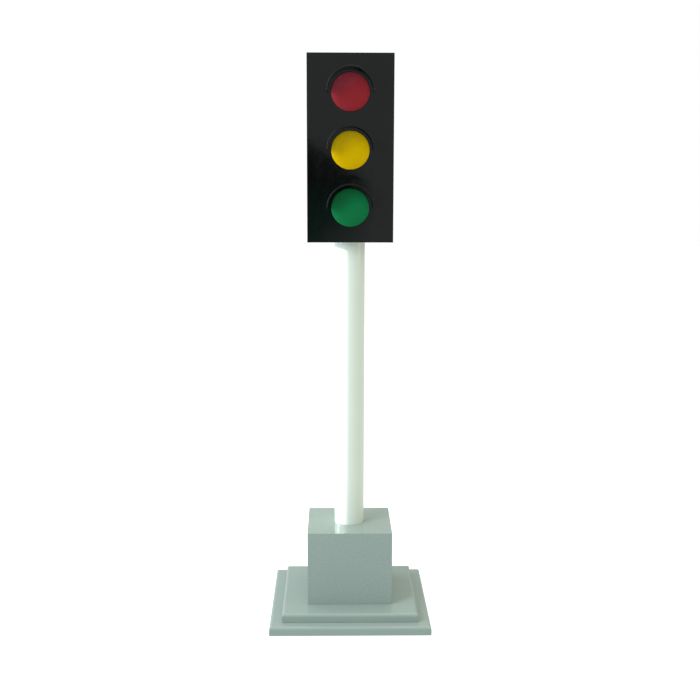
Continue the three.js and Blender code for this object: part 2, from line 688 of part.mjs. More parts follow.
// A spun bowl: a flat rim, a parabola and a short neck.
function reflector() {
  const wall = REFLECTOR_WALL;
  const span = REFLECTOR_MOUTH ** 2 - REFLECTOR_NECK ** 2;
  const neckEnd = REFLECTOR_END + REFLECTOR_NECK_LENGTH;
  const bowl = [];
  for (let step = 0; step <= REFLECTOR_STEPS; step++) {
    const radius = REFLECTOR_NECK + (REFLECTOR_MOUTH - REFLECTOR_NECK) * (step / REFLECTOR_STEPS);
    const share = (radius ** 2 - REFLECTOR_NECK ** 2) / span;
    bowl.push([radius, REFLECTOR_END - (REFLECTOR_END - REFLECTOR_RIM) * share]);
  }
  const outside = bowl.map(([radius, y]) => [radius + wall, y + wall]).reverse();
  return turnedBack([
    [REFLECTOR_NECK, neckEnd],
    ...bowl,
    [REFLECTOR_OUTER, REFLECTOR_RIM],
    [REFLECTOR_OUTER, REFLECTOR_RIM + wall],
    ...outside,
    [REFLECTOR_NECK + wall, neckEnd],
    [REFLECTOR_NECK, neckEnd],
  ], MEDIUM);
}

const HOLDER_FRONT = 4;
const HOLDER_BACK = 38;
const HOLDER_THROAT = 15; // radius of the part that passes through the reflector's neck
const HOLDER_FLANGE = { radius: 21, thickness: 3 };
const HOLDER_BODY = 16;
const SOCKET_DEPTH = 19;
const CAP_RADIUS = 7;
const CAP = { collar: 8, front: 1, back: 19, tip: 23, tipRadius: 3 };
const GLOBE = { radius: 19, y: -25, degrees: 150, steps: 7 };

function lampHolder() {
  const socket = CAP_RADIUS + 0.5;
  const floor = HOLDER_FRONT + SOCKET_DEPTH;
  const seat = REFLECTOR_END + REFLECTOR_NECK_LENGTH;
  const flangeBack = seat + HOLDER_FLANGE.thickness;
  return turnedBack([
    [socket, HOLDER_FRONT],
    [HOLDER_THROAT, HOLDER_FRONT],
    [HOLDER_THROAT, seat],
    [HOLDER_FLANGE.radius, seat],
    [HOLDER_FLANGE.radius, flangeBack],
    [HOLDER_BODY, flangeBack],
    [HOLDER_BODY, HOLDER_BACK],
    [0, HOLDER_BACK],
    [0, floor],
    [socket, floor],
    [socket, HOLDER_FRONT],
  ]);
}

// A globe lamp with a screw cap: the globe towards the lens.
function lamp() {
  const points = [];
  for (let step = 0; step <= GLOBE.steps; step++) {
    const angle = (step / GLOBE.steps) * THREE.MathUtils.degToRad(GLOBE.degrees);
    points.push([GLOBE.radius * Math.sin(angle), GLOBE.y - GLOBE.radius * Math.cos(angle)]);
  }
  return turnedBack([
    ...points,
    [CAP.collar, 0],
    [CAP_RADIUS, CAP.front],
    [CAP_RADIUS, CAP.back],
    [CAP.tipRadius, CAP.tip],
    [0, CAP.tip],
  ]);
}

// The half-round hood over a lens, standing on the front sheet.
function hood() {
  const shape = new THREE.Shape();
  shape.absarc(0, 0, HOOD_RADIUS, 0, Math.PI);
  shape.absarc(0, 0, HOOD_RADIUS - HOOD_WALL, Math.PI, 0, true);
  return sheet(shape, HEAD_FRONT - HOOD_REACH, HEAD_FRONT, COARSEST);
}

function lensSeal() {
  const [inner, outer] = [LENS_OPENING, LENS_FLANGE + LENS_EDGE.drop];
  const [front, back] = [SHEET_BACK, LENS_SEAT];
  return turnedBack([[inner, front], [outer, front], [outer, back], [inner, back], [inner, front]], MEDIUM);
}

function addOptics() {
  for (const [colour, height] of Object.entries(LENS_HEIGHTS)) {
    part(`hood_${colour}`, hood(), FINISH.blackGloss, 0, 0, height);
    part(`lens_${colour}`, lens(), FINISH[colour], 0, 0, height);
    part(`lens_seal_${colour}`, lensSeal(), FINISH.rubber, 0, 0, height);
    part(`reflector_${colour}`, reflector(), FINISH.spunAluminium, 0, 0, height);
    part(`lamp_${colour}`, lamp(), FINISH.frostedGlass, 0, 0, height);
    part(`lamp_holder_${colour}`, lampHolder(), FINISH.porcelain, 0, 0, height);
  }
}

// ---------------------------------------------------------------- door, hinge and latch

const HINGE_LENGTH = 300;
const HINGE_KNUCKLES = 5;
const KNUCKLE_GAP = 1;
const KNUCKLE_RADIUS = 3.2;
const LEAF_THICKNESS = 1.5;
const LEAF_WIDTH = 26;
const LEAF_RELIEF = KNUCKLE_RADIUS + 0.5; // the strips stop this far from the pin's axis
const PIN_RADIUS = 1.5;
const PIN_HEAD = { radius: 2.6, thickness: 1.5 };
const PIN_BORE = 1.9;
const PIN_X = HEAD_WIDTH / 2 + KNUCKLE_RADIUS;
const PIN_Y = HEAD_BACK + LEAF_THICKNESS - KNUCKLE_RADIUS;
const LATCH_X = -82;
const BARREL_RADIUS = 9;
const BARREL_FRONT = 52;
const BARREL_FLANGE = { radius: 13, thickness: 2, nut: 3.5 };
const KNOB = { radius: 11, base: 3, wing: 6, height: 13 };
const CAM = { hub: 6.5, tip: 4, reach: 11, front: 45.5, back: 47.8, bore: 3 };
const CAM_NUT = { radius: 5.5, front: 44 };
const KEEPER = { height: 36, front: 26, thickness: 2, lip: 7.5 };
const DOOR_EDGE = 0.4; // the door stops short of the head's side at the hinge

// The heights where each knuckle starts and ends.
function knuckleSpans() {
  const length = (HINGE_LENGTH - KNUCKLE_GAP * (HINGE_KNUCKLES - 1)) / HINGE_KNUCKLES;
  const spans = [];
  for (let index = 0; index < HINGE_KNUCKLES; index++) {
    const bottom = HEAD_MIDDLE - HINGE_LENGTH / 2 + index * (length + KNUCKLE_GAP);
    spans.push([bottom, bottom + length]);
  }
  return spans;
}

// One leaf: a flat strip, with a tongue and a rolled knuckle at each of its spans.
function hingeLeaf(strip, tongue, spans) {
  const pieces = [strip];
  for (const [bottom, top] of spans) {
    pieces.push(tongue(bottom, top));
    pieces.push(post(KNUCKLE_RADIUS, bottom, top, COARSEST).translate(PIN_X, PIN_Y, 0));
  }
  const bore = post(PIN_BORE, HEAD_MIDDLE - HINGE_LENGTH, HEAD_MIDDLE + HINGE_LENGTH, COARSEST);
  return cut(join(...pieces), bore.translate(PIN_X, PIN_Y, 0));
}

function addHinge() {
  const side = HEAD_WIDTH / 2;
  const sideFace = side + LEAF_THICKNESS;
  const backFace = HEAD_BACK + LEAF_THICKNESS;
  const bottom = HEAD_MIDDLE - HINGE_LENGTH / 2;
  const top = HEAD_MIDDLE + HINGE_LENGTH / 2;
  const [frameEnd, doorEnd] = [PIN_Y - LEAF_RELIEF, PIN_X - LEAF_RELIEF];
  const frameStrip = box([side, frameEnd - LEAF_WIDTH, bottom], [sideFace, frameEnd, top]);
  const frameTongue = (low, high) => box([side, frameEnd - OVERCUT, low], [sideFace, PIN_Y, high]);
  const doorStrip = box([doorEnd - LEAF_WIDTH, HEAD_BACK, bottom], [doorEnd, backFace, top]);
  const doorTongue = (low, high) => box([doorEnd - OVERCUT, HEAD_BACK, low], [PIN_X, backFace, high]);
  const [odd, even] = [0, 1].map((first) => knuckleSpans().filter((_, index) => index % 2 === first));
  part("hinge_frame_leaf", hingeLeaf(frameStrip, frameTongue, odd), FINISH.zinc);
  part("hinge_door_leaf", hingeLeaf(doorStrip, doorTongue, even), FINISH.zinc);
  const pinTop = top + 2;
  const shank = post(PIN_RADIUS, bottom - 1, pinTop - 1, COARSEST);
  const head = post(PIN_HEAD.radius, pinTop - PIN_HEAD.thickness, pinTop, COARSEST);
  part("hinge_pin", join(shank, head), FINISH.zinc, PIN_X, PIN_Y, 0);
}

function addDoor() {
  const width = HEAD_WIDTH - DOOR_EDGE;
  const shape = rectangle(width, HEAD_HEIGHT - 2 * SEAL_MARGIN, -DOOR_EDGE / 2, HEAD_MIDDLE);
  shape.holes.push(circleHole(BARREL_RADIUS + CLEARANCE, LATCH_X, HEAD_MIDDLE));
  part("rear_door", sheet(shape, DOOR_INSIDE, HEAD_BACK, COARSEST), FINISH.blackGloss);
}

function addLatch() {
  const bore = BOLT_RADIUS + CLEARANCE;
  const plateBack = HEAD_BACK + BARREL_FLANGE.thickness;
  const barrel = turnedBack([
    [bore, BARREL_FRONT],
    [BARREL_RADIUS, BARREL_FRONT],
    [BARREL_RADIUS, DOOR_INSIDE - BARREL_FLANGE.nut],
    [BARREL_FLANGE.radius, DOOR_INSIDE - BARREL_FLANGE.nut],
    [BARREL_FLANGE.radius, DOOR_INSIDE - CLEARANCE],
    [BARREL_RADIUS, DOOR_INSIDE - CLEARANCE],
    [BARREL_RADIUS, HEAD_BACK],
    [BARREL_FLANGE.radius, HEAD_BACK],
    [BARREL_FLANGE.radius, plateBack],
    [bore, plateBack],
    [bore, BARREL_FRONT],
  ]);
  part("latch_barrel", barrel, FINISH.chrome, LATCH_X, 0, HEAD_MIDDLE);

  const knobBottom = plateBack + CLEARANCE;
  const wing = box(
    [-KNOB.wing / 2, knobBottom + KNOB.base - OVERCUT, -KNOB.radius],
    [KNOB.wing / 2, knobBottom + KNOB.height, KNOB.radius],
  );
  const knob = join(
    rod(KNOB.radius, knobBottom, knobBottom + KNOB.base),
    wing,
    rod(BOLT_RADIUS, CAM.back, knobBottom + OVERCUT),
    rod(CAM.bore, CAM_NUT.front, CAM.back + OVERCUT, COARSEST),
    rod(CAM_NUT.radius, CAM_NUT.front, CAM.front, HEXAGON),
  );
  part("latch_knob", knob, FINISH.chrome, LATCH_X, 0, HEAD_MIDDLE);

  // The cam hangs down when the door is free, and turns towards the keeper to lock it.
  const shape = new THREE.Shape();
  shape.absarc(0, 0, CAM.hub, 0, Math.PI);
  shape.absarc(0, -CAM.reach, CAM.tip, Math.PI, 2 * Math.PI);
  shape.holes.push(circleHole(CAM.bore + CLEARANCE, 0, 0));
  const cam = sheet(shape, CAM.front + CLEARANCE, CAM.back - CLEARANCE);
  part("latch_cam", cam, FINISH.zinc, LATCH_X, 0, HEAD_MIDDLE);

  const wall = -HEAD_WIDTH / 2 + HEAD_WALL;
  const [bottom, top] = [HEAD_MIDDLE - KEEPER.height / 2, HEAD_MIDDLE + KEEPER.height / 2];
  const keeper = join(
    box([wall, KEEPER.front, bottom], [wall + KEEPER.thickness, BARREL_FRONT, top]),
    box([wall, BARREL_FRONT - KEEPER.thickness, bottom], [wall + KEEPER.lip, BARREL_FRONT, top]),
  );
  part("latch_keeper", keeper, FINISH.zinc);
}

// ---------------------------------------------------------------- wiring

const TERMINALS = { x: 70, y: 22, bottom: HEAD_FLOOR, top: HEAD_FLOOR + 14, length: 46, width: 18 };
const TERMINAL_WAY = { count: 4, pitch: 11.5, length: 9, width: 12, height: 5, first: -22 };
const TRUNK_RADIUS = 3;
const BRANCH_RADIUS = 2;
const WIRE_FACETS = 8;

function addTerminalBlock() {
  const { x, y, bottom, top, length, width } = TERMINALS;
  const shoulder = top - TERMINAL_WAY.height;
  const pieces = [box([x - length / 2, y - width / 2, bottom], [x + length / 2, y + width / 2, shoulder])];
  const half = TERMINAL_WAY.width / 2;
  for (let way = 0; way < TERMINAL_WAY.count; way++) {
    const left = x + TERMINAL_WAY.first + way * TERMINAL_WAY.pitch;
    pieces.push(box([left, y - half, shoulder - OVERCUT], [left + TERMINAL_WAY.length, y + half, top]));
  }
  part("terminal_block", join(...pieces), FINISH.nylon);
}

// One trunk up the side of the head with a branch to the back of each lamp holder.
function addHarness() {
  const { x, y, top } = TERMINALS;
  const trunkTop = LENS_HEIGHTS.red + 5;
  const branchEnd = HOLDER_BODY + CLEARANCE;
  const pieces = [post(TRUNK_RADIUS, top, trunkTop, WIRE_FACETS).translate(x, y, 0)];
  for (const height of Object.values(LENS_HEIGHTS)) {
    const branch = crossRod(BRANCH_RADIUS, x - branchEnd, WIRE_FACETS);
    pieces.push(branch.translate((x + branchEnd) / 2, y, height));
  }
  part("lamp_harness", join(...pieces), FINISH.greySheath);
}

const CABLE_STEPS = 48;

// The cable from the controller, in through the side of the pole, up it, and over to the terminals.
const CABLE_ROUTE = [
  [77, 0, 83],
  [77, 0, 92],
  [68, 0, 106],
  [54, 0, 118],
  [36, 0, 130],
  [16, 0, 139],
  [3, 0, 158],
  [0, 0, 185],
  [0, 0, 340],
  [0, 0, 560],
  [0, 0, 780],
  [0, 0, 940],
  [0, 0, 984],
  [0, 0, 996],
  [8, 4, 1014],
  [28, 12, 1020],
  [48, 20, 1008],
  [TERMINALS.x - 16, TERMINALS.y, 990],
];

function addSignalCable() {
  const points = CABLE_ROUTE.map((place) => new THREE.Vector3(...place));
  const route = new THREE.CatmullRomCurve3(points, false, "centripetal");
  const section = new THREE.Shape().absarc(0, 0, CABLE_RADIUS, 0, 2 * Math.PI);
  const options = { steps: CABLE_STEPS, extrudePath: route, curveSegments: 4 };
  part("signal_cable", new THREE.ExtrudeGeometry(section, options), FINISH.greySheath);
}

// ---------------------------------------------------------------- assembly

addPlinth();
addBlock();
addServicePanel();
addMainsInlet();
addPowerSwitch();
addModeSwitch();
addPowerSupply();
addController();
addFloorFlange();
addPole();
addTopFlange();
addHeadFixings();
addHeadBox();
addOptics();
addHinge();
addDoor();
addLatch();
addTerminalBlock();
addHarness();
addSignalCable();

export default signal;
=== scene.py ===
"""A free-standing three-lamp traffic signal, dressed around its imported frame.

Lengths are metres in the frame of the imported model: +Z up the pole, the lamps face -Y. Each
sub-assembly is a class that builds its pieces at the places the frame gives and dresses them.
"""
import enum
import json
import logging
import math
from collections.abc import Iterable, Sequence
from dataclasses import dataclass, field

import bmesh
import bpy
from mathutils import Matrix, Vector


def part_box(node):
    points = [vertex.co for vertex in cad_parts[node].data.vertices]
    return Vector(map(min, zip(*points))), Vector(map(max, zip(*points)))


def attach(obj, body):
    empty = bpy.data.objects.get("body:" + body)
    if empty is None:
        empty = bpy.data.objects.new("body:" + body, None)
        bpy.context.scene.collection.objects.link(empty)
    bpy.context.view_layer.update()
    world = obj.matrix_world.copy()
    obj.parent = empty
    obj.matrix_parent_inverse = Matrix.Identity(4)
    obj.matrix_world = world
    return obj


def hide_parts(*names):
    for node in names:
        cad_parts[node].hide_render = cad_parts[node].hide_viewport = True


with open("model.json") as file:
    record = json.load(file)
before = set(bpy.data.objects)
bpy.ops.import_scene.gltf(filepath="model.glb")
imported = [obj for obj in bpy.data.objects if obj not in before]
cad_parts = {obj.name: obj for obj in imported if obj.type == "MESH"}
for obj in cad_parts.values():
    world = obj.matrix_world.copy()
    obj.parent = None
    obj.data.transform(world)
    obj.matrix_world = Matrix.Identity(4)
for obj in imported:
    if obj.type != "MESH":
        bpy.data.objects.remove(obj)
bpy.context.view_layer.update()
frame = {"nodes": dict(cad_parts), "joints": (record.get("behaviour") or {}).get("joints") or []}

LOG = logging.getLogger("traffic_signal")
MM = 0.001
OVERCUT = 10 * MM  # how far a cutting tool reaches past the faces it cuts
BLANK = (0.0, 0.0, 0.0, 1.0)

Colour = tuple[float, float, float]
Outline = list[tuple[float, float]]
Piece = bpy.types.Object
Shape = bmesh.types.BMesh
Socket = bpy.types.NodeSocket


# ---------------------------------------------------------------- places


class Axis(enum.Enum):
    """The way a turned piece's axis points."""

    UP = "up"
    BACK = "back"

    def point(self, radius: float, along: float, angle: float) -> Vector:
        """Gives the place of a point on a turned piece.

        Args:
            radius: distance from the axis.
            along: distance along the axis.
            angle: angle round the axis, in radians.

        Returns:
            The point, with the axis through the origin.
        """
        across, other = radius * math.cos(angle), radius * math.sin(angle)
        if self is Axis.UP:
            return Vector((across, other, along))
        return Vector((across, along, other))


@dataclass(frozen=True)
class Place:
    """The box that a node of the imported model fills."""

    low: Vector
    high: Vector

    @classmethod
    def of(cls, node: str) -> "Place":
        """Reads a node's box from the frame.

        Args:
            node: the node's name.

        Returns:
            Its box at rest.
        """
        return cls(*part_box(node))

    @property
    def middle(self) -> Vector:
        """The centre of the box."""
        return (self.low + self.high) / 2

    @property
    def size(self) -> Vector:
        """The three sides of the box."""
        return self.high - self.low


def joint_named(name: str) -> dict:
    """Reads a joint from the frame.

    Args:
        name: the joint's name.

    Returns:
        Its row in the frame.
    """
    return next(joint for joint in frame["joints"] if joint["name"] == name)


# ---------------------------------------------------------------- node graphs


class Graph:
    """A node tree being built, with a short way to add and join nodes."""

    def __init__(self, tree: bpy.types.NodeTree) -> None:
        """Wraps a tree."""
        self.tree = tree

    def add(self, kind: str, inputs: dict | None = None, **settings: object) -> bpy.types.Node:
        """Adds a node.

        Args:
            kind: Blender's name for the node type.
            inputs: a socket or a value for each input, by name or by index.
            settings: the node's own properties.

        Returns:
            The new node.
        """
        node = self.tree.nodes.new(kind)
        for key, value in settings.items():
            setattr(node, key, value)
        for key, value in (inputs or {}).items():
            if isinstance(value, Socket):
                self.tree.links.new(value, node.inputs[key])
            else:
                node.inputs[key].default_value = value
        return node

    def math(self, operation: str, *values: object) -> Socket:
        """Adds a sum on one or more numbers.

        Args:
            operation: the name of the operation, such as MULTIPLY.
            values: a socket or a number for each operand.

        Returns:
            The result's socket.
        """
        inputs = dict(enumerate(values))
        return self.add("ShaderNodeMath", inputs, operation=operation).outputs[0]

    def blend(self, share: object, first: object, second: object) -> Socket:
        """Mixes two colours.

        Args:
            share: how much of the second colour, 0 to 1.
            first: a colour or a colour socket.
            second: a colour or a colour socket.

        Returns:
            The mixed colour's socket.
        """
        inputs = {0: share, 6: first, 7: second}
        return self.add("ShaderNodeMix", inputs, data_type="RGBA").outputs[2]

    def remap(self, value: object, source: Sequence[float], target: Sequence[float]) -> Socket:
        """Stretches one range of numbers over another and holds its ends.

        Args:
            value: the number's socket.
            source: the lowest and highest number expected.
            target: what they become.

        Returns:
            The result's socket.
        """
        inputs = {0: value, 1: source[0], 2: source[1], 3: target[0], 4: target[1]}
        return self.add("ShaderNodeMapRange", inputs).outputs[0]


def opaque(colour: Colour, brightness: float = 1.0) -> tuple[float, float, float, float]:
    """Gives a colour its alpha.

    Args:
        colour: red, green and blue, linear.
        brightness: what each is multiplied by.

    Returns:
        The colour with an alpha of one.
    """
    return (colour[0] * brightness, colour[1] * brightness, colour[2] * brightness, 1.0)


# ---------------------------------------------------------------- finishes


@dataclass(frozen=True)
class Finish:
    """A surface: its colour, its gloss, and how unevenly it was made and has aged.

    Sizes and depths are metres. The colour drifts in patches, the gloss drifts in smaller ones,
    and a fine grain lifts the surface.
    """

    name: str
    slot: str
    colour: Colour
    roughness: float
    roughness_drift: float = 0.05
    metallic: float = 0.0
    ior: float = 1.5
    specular: float = 0.5
    coat: float = 0.0
    mottle: float = 0.04
    mottle_size: float = 0.05
    grain_size: float = 0.002
    grain_depth: float = 0.00001

    def material(self) -> bpy.types.Material:
        """Gives the finish's material, made the first time it is asked for.

        Returns:
            The material.
        """
        title = "finish_" + self.name
        made = bpy.data.materials.get(title)
        if made is not None:
            return made
        made = bpy.data.materials.new(title)
        made.use_nodes = True
        made.node_tree.nodes.clear()
        graph = Graph(made.node_tree)
        coords = graph.add("ShaderNodeTexCoord").outputs["Object"]
        patches = self._noise(graph, coords, self.mottle_size, 4.0)
        colour = self._colour(graph, coords, patches)
        height = self._height(graph, coords)
        bump = graph.add("ShaderNodeBump", {"Strength": 1.0, "Distance": self.grain_depth, "Height": height})
        shader = graph.add(
            "ShaderNodeBsdfPrincipled",
            {
                "Base Color": colour,
                "Roughness": self._gloss(graph, coords),
                "Metallic": self.metallic,
                "IOR": self.ior,
                "Specular IOR Level": self.specular,
                "Coat Weight": self.coat,
                "Coat Roughness": 0.06,
                "Normal": bump.outputs[0],
            },
        )
        self._extras(shader)
        graph.add("ShaderNodeOutputMaterial", {"Surface": shader.outputs[0]})
        return made

    @staticmethod
    def _noise(graph: Graph, coords: object, size: float, detail: float, **settings: object) -> Socket:
        """Adds noise whose patches are about the given size.

        Args:
            graph: the tree to add to.
            coords: the coordinates' socket.
            size: metres across a patch.
            detail: how many finer layers ride on it.
            settings: the node's own properties.

        Returns:
            A socket that runs from 0 to 1.
        """
        inputs = {"Vector": coords, "Scale": 1.0 / size, "Detail": detail, "Roughness": 0.55}
        return graph.add("ShaderNodeTexNoise", inputs, **settings).outputs[0]

    def _colour(self, graph: Graph, coords: object, patches: object) -> Socket:
        """Lets the colour drift between a darker and a lighter shade."""
        share = graph.remap(patches, (0.3, 0.7), (0.0, 1.0))
        dark, light = opaque(self.colour, 1 - self.mottle), opaque(self.colour, 1 + self.mottle)
        return graph.blend(share, dark, light)

    def _gloss(self, graph: Graph, coords: object) -> Socket:
        """Lets the roughness drift with patches of its own."""
        smears = self._noise(graph, coords, self.mottle_size * 0.37, 6.0)
        low, high = self.roughness - self.roughness_drift, self.roughness + self.roughness_drift
        return graph.remap(smears, (0.3, 0.7), (max(0.02, low), high))

    def _height(self, graph: Graph, coords: object) -> Socket:
        """Gives the grain's height."""
        return self._noise(graph, coords, self.grain_size, 2.0)

    def _extras(self, shader: bpy.types.Node) -> None:
        """Sets what only some finishes have."""


@dataclass(frozen=True)
class Enamel(Finish):
    """Brushed or sprayed paint: a slow ripple, dust on what faces up, and an edge colour on sharp edges that
    is worn paint and, where lighter than the paint, a painted highlight.
    """

    ripple_size: float = 0.018
    dust: float = 0.10
    dust_colour: Colour = (0.42, 0.41, 0.37)
    edge_colour: Colour = (0.55, 0.60, 0.57)
    edge_wear_and_highlight: float = 0.25

    def _colour(self, graph: Graph, coords: object, patches: object) -> Socket:
        """Adds dust to the drifting colour, and on sharp edges worn paint, which is also a painted highlight
        where the edge colour is lighter than the paint.
        """
        paint = super()._colour(graph, coords, patches)
        surface = graph.add("ShaderNodeNewGeometry")
        upward = graph.add("ShaderNodeSeparateXYZ", {0: surface.outputs["Normal"]}).outputs["Z"]
        film = self._noise(graph, coords, 0.07, 5.0)
        flat = graph.remap(upward, (0.6, 1.0), (0.0, self.dust))
        dusty = graph.blend(graph.math("MULTIPLY", flat, film), paint, opaque(self.dust_colour))
        # Sharp edges get the edge colour in chipped patches: worn paint, and a painted edge highlight where
        # that colour is lighter than the paint.
        edge = graph.remap(surface.outputs["Pointiness"], (0.52, 0.62), (0.0, self.edge_wear_and_highlight))
        chips = graph.remap(self._noise(graph, coords, 0.006, 3.0), (0.45, 0.6), (0.0, 1.0))
        return graph.blend(graph.math("MULTIPLY", edge, chips), dusty, opaque(self.edge_colour))

    def _height(self, graph: Graph, coords: object) -> Socket:
        """Lays a slow ripple under the fine grain."""
        fine = self._noise(graph, coords, self.grain_size, 2.0)
        ripple = self._noise(graph, coords, self.ripple_size, 1.0)
        return graph.math("ADD", fine, graph.math("MULTIPLY", ripple, 6.0))


@dataclass(frozen=True)
class PolishedSheet(Finish):
    """Polished black sheet: a mirror with faint waves, wiping marks, hairlines and dust."""

    wave_size: float = 0.11
    wave_share: float = 30.0
    hairline: float = 0.14
    speck_colour: Colour = (0.12, 0.12, 0.11)

    def _colour(self, graph: Graph, coords: object, patches: object) -> Socket:
        """Scatters fine dust over the black."""
        black = super()._colour(graph, coords, patches)
        grit = graph.add("ShaderNodeTexVoronoi", {"Vector": coords, "Scale": 260.0}).outputs["Distance"]
        speck = graph.remap(grit, (0.05, 0.02), (0.0, 1.0))
        lively = graph.remap(self._noise(graph, coords, 0.03, 2.0), (0.55, 0.7), (0.0, 0.35))
        return graph.blend(graph.math("MULTIPLY", speck, lively), black, opaque(self.speck_colour))

    def _gloss(self, graph: Graph, coords: object) -> Socket:
        """Adds hairline scratches to the wiping marks."""
        wiped = super()._gloss(graph, coords)
        turned = graph.add("ShaderNodeMapping", {"Vector": coords, "Rotation": (0.3, 0.5, 0.2)})
        turned.inputs["Scale"].default_value = (900.0, 900.0, 14.0)
        lines = graph.add("ShaderNodeTexNoise", {"Vector": turned.outputs[0], "Scale": 1.0, "Detail": 1.0})
        scratch = graph.remap(lines.outputs[0], (0.70, 0.74), (0.0, self.hairline))
        return graph.math("ADD", wiped, scratch)

    def _height(self, graph: Graph, coords: object) -> Socket:
        """Makes the sheet very slightly wavy."""
        wave = self._noise(graph, coords, self.wave_size, 0.0)
        fine = self._noise(graph, coords, self.grain_size, 1.0)
        return graph.math("ADD", graph.math("MULTIPLY", wave, self.wave_share), fine)


@dataclass(frozen=True)
class LensPlastic(Finish):
    """Tinted lens plastic with soft flow marks, with painted light at the upper left and painted shade at the
    lower right.
    """

    centre: tuple[float, float, float] = (0.0, 0.0, 0.0)
    radius: float = 0.047
    # The two colours below are painted shade and painted light, laid over the lens's own tint.
    painted_shade_colour: Colour = (0.0, 0.0, 0.0)
    painted_light_colour: Colour = (0.0, 0.0, 0.0)

    def _colour(self, graph: Graph, coords: object, patches: object) -> Socket:
        """Paints light onto the tint at the upper left, against the hood's shadow, and paints shade at the
        lower right.
        """
        tint = super()._colour(graph, coords, patches)
        local = graph.add("ShaderNodeVectorMath", {0: coords, 1: self.centre}, operation="SUBTRACT")
        parts = graph.add("ShaderNodeSeparateXYZ", {0: local.outputs[0]})
        across = graph.math("DIVIDE", parts.outputs["X"], self.radius)
        upward = graph.math("DIVIDE", parts.outputs["Z"], self.radius)
        # Grows towards the lower right and sets the share of painted shade.
        slope = graph.math("SUBTRACT", graph.math("MULTIPLY", across, 0.6), upward)
        tint_with_painted_shade = graph.blend(graph.remap(slope, (0.0, 1.2), (0.0, 0.8)), tint, opaque(self.painted_shade_colour))
        # Grows towards the upper left and sets the share of painted light.
        height = graph.math("SUBTRACT", upward, graph.math("MULTIPLY", across, 0.7))
        return graph.blend(graph.remap(height, (0.1, 1.1), (0.0, 1.0)), tint_with_painted_shade, opaque(self.painted_light_colour))

    def _extras(self, shader: bpy.types.Node) -> None:
        """Lets a little light wander under the surface."""
        shader.inputs["Subsurface Weight"].default_value = 0.12
        shader.inputs["Subsurface Radius"].default_value = (0.004, 0.003, 0.003)
        shader.inputs["Subsurface Scale"].default_value = 1.0


@dataclass(frozen=True)
class TurnedMetal(Finish):
    """Metal spun or turned about an axis along Y, with fine rings left by the tool."""

    centre: tuple[float, float, float] = (0.0, 0.0, 0.0)

    def _height(self, graph: Graph, coords: object) -> Socket:
        """Raises rings by their distance from the axis."""
        local = graph.add("ShaderNodeVectorMath", {0: coords, 1: self.centre}, operation="SUBTRACT")
        across = {0: local.outputs[0], 1: (1.0, 0.0, 1.0)}
        flat = graph.add("ShaderNodeVectorMath", across, operation="MULTIPLY")
        radius = graph.add("ShaderNodeVectorMath", {0: flat.outputs[0]}, operation="LENGTH").outputs["Value"]
        inputs = {"W": radius, "Scale": 1.0 / self.grain_size, "Detail": 3.0}
        return graph.add("ShaderNodeTexNoise", inputs, noise_dimensions="1D").outputs[0]


@dataclass(frozen=True)
class Plated(Finish):
    """Plated steel, with a faint yellow cast in patches and short streaks from handling."""

    cast: Colour = (0.66, 0.60, 0.46)

    def _colour(self, graph: Graph, coords: object, patches: object) -> Socket:
        """Warms the metal where the plating is thick."""
        bare = super()._colour(graph, coords, patches)
        share = graph.remap(self._noise(graph, coords, 0.02, 3.0), (0.5, 0.75), (0.0, 0.5))
        return graph.blend(share, bare, opaque(self.cast))

    def _height(self, graph: Graph, coords: object) -> Socket:
        """Draws the grain out along X, as rolled sheet has it."""
        drawn = graph.add("ShaderNodeMapping", {"Vector": coords})
        drawn.inputs["Scale"].default_value = (60.0, 1600.0, 1600.0)
        return graph.add("ShaderNodeTexNoise", {"Vector": drawn.outputs[0], "Scale": 1.0}).outputs[0]


GREY_ENAMEL = Enamel(
    name="grey_enamel", slot="grey_enamel", colour=(0.298, 0.372, 0.340), roughness=0.11,
    roughness_drift=0.015, mottle=0.015, mottle_size=0.12, grain_size=0.0016,
    grain_depth=0.000004,
)
PANEL_ENAMEL = Enamel(
    name="panel_enamel", slot="panel_enamel", colour=(0.290, 0.362, 0.332), roughness=0.30,
    roughness_drift=0.03, coat=0.2, mottle=0.02, mottle_size=0.05, grain_size=0.0009,
    grain_depth=0.000006,
)
WHITE_ENAMEL = Enamel(
    name="white_enamel", slot="white_enamel", colour=(0.760, 0.830, 0.740), roughness=0.22,
    roughness_drift=0.05, coat=0.35, mottle=0.02, mottle_size=0.15, grain_size=0.0018,
    grain_depth=0.000012, dust=0.05, edge_colour=(0.60, 0.62, 0.60), edge_wear_and_highlight=0.15,
)
# A lighter copy of the white enamel for the top flange: the extra lightness is painted light, standing in for
# light from below under the head.
RING_WHITE_PAINTED_LIGHT = Enamel(
    name="ring_white", slot="white_enamel", colour=(0.900, 0.940, 0.900), roughness=0.22,
    roughness_drift=0.05, coat=0.35, mottle=0.02, mottle_size=0.15, grain_size=0.0018,
    grain_depth=0.000012, dust=0.05, edge_colour=(0.60, 0.62, 0.60), edge_wear_and_highlight=0.15,
)
BLACK_GLOSS = PolishedSheet(
    name="black_gloss", slot="black_gloss", colour=(0.0030, 0.0034, 0.0033), roughness=0.055,
    roughness_drift=0.03, mottle=0.08, mottle_size=0.06, grain_size=0.004, grain_depth=0.0000012,
)
HOOD_BLACK = PolishedSheet(
    name="hood_black", slot="black_gloss", colour=(0.0030, 0.0034, 0.0033), roughness=0.11, specular=0.42,
    roughness_drift=0.03, mottle=0.08, mottle_size=0.06, grain_size=0.004, grain_depth=0.0000012,
)
RUBBER = Finish(
    name="rubber", slot="rubber", colour=(0.018, 0.018, 0.019), roughness=0.72,
    mottle=0.25, mottle_size=0.01, grain_size=0.0006, grain_depth=0.00003,
)
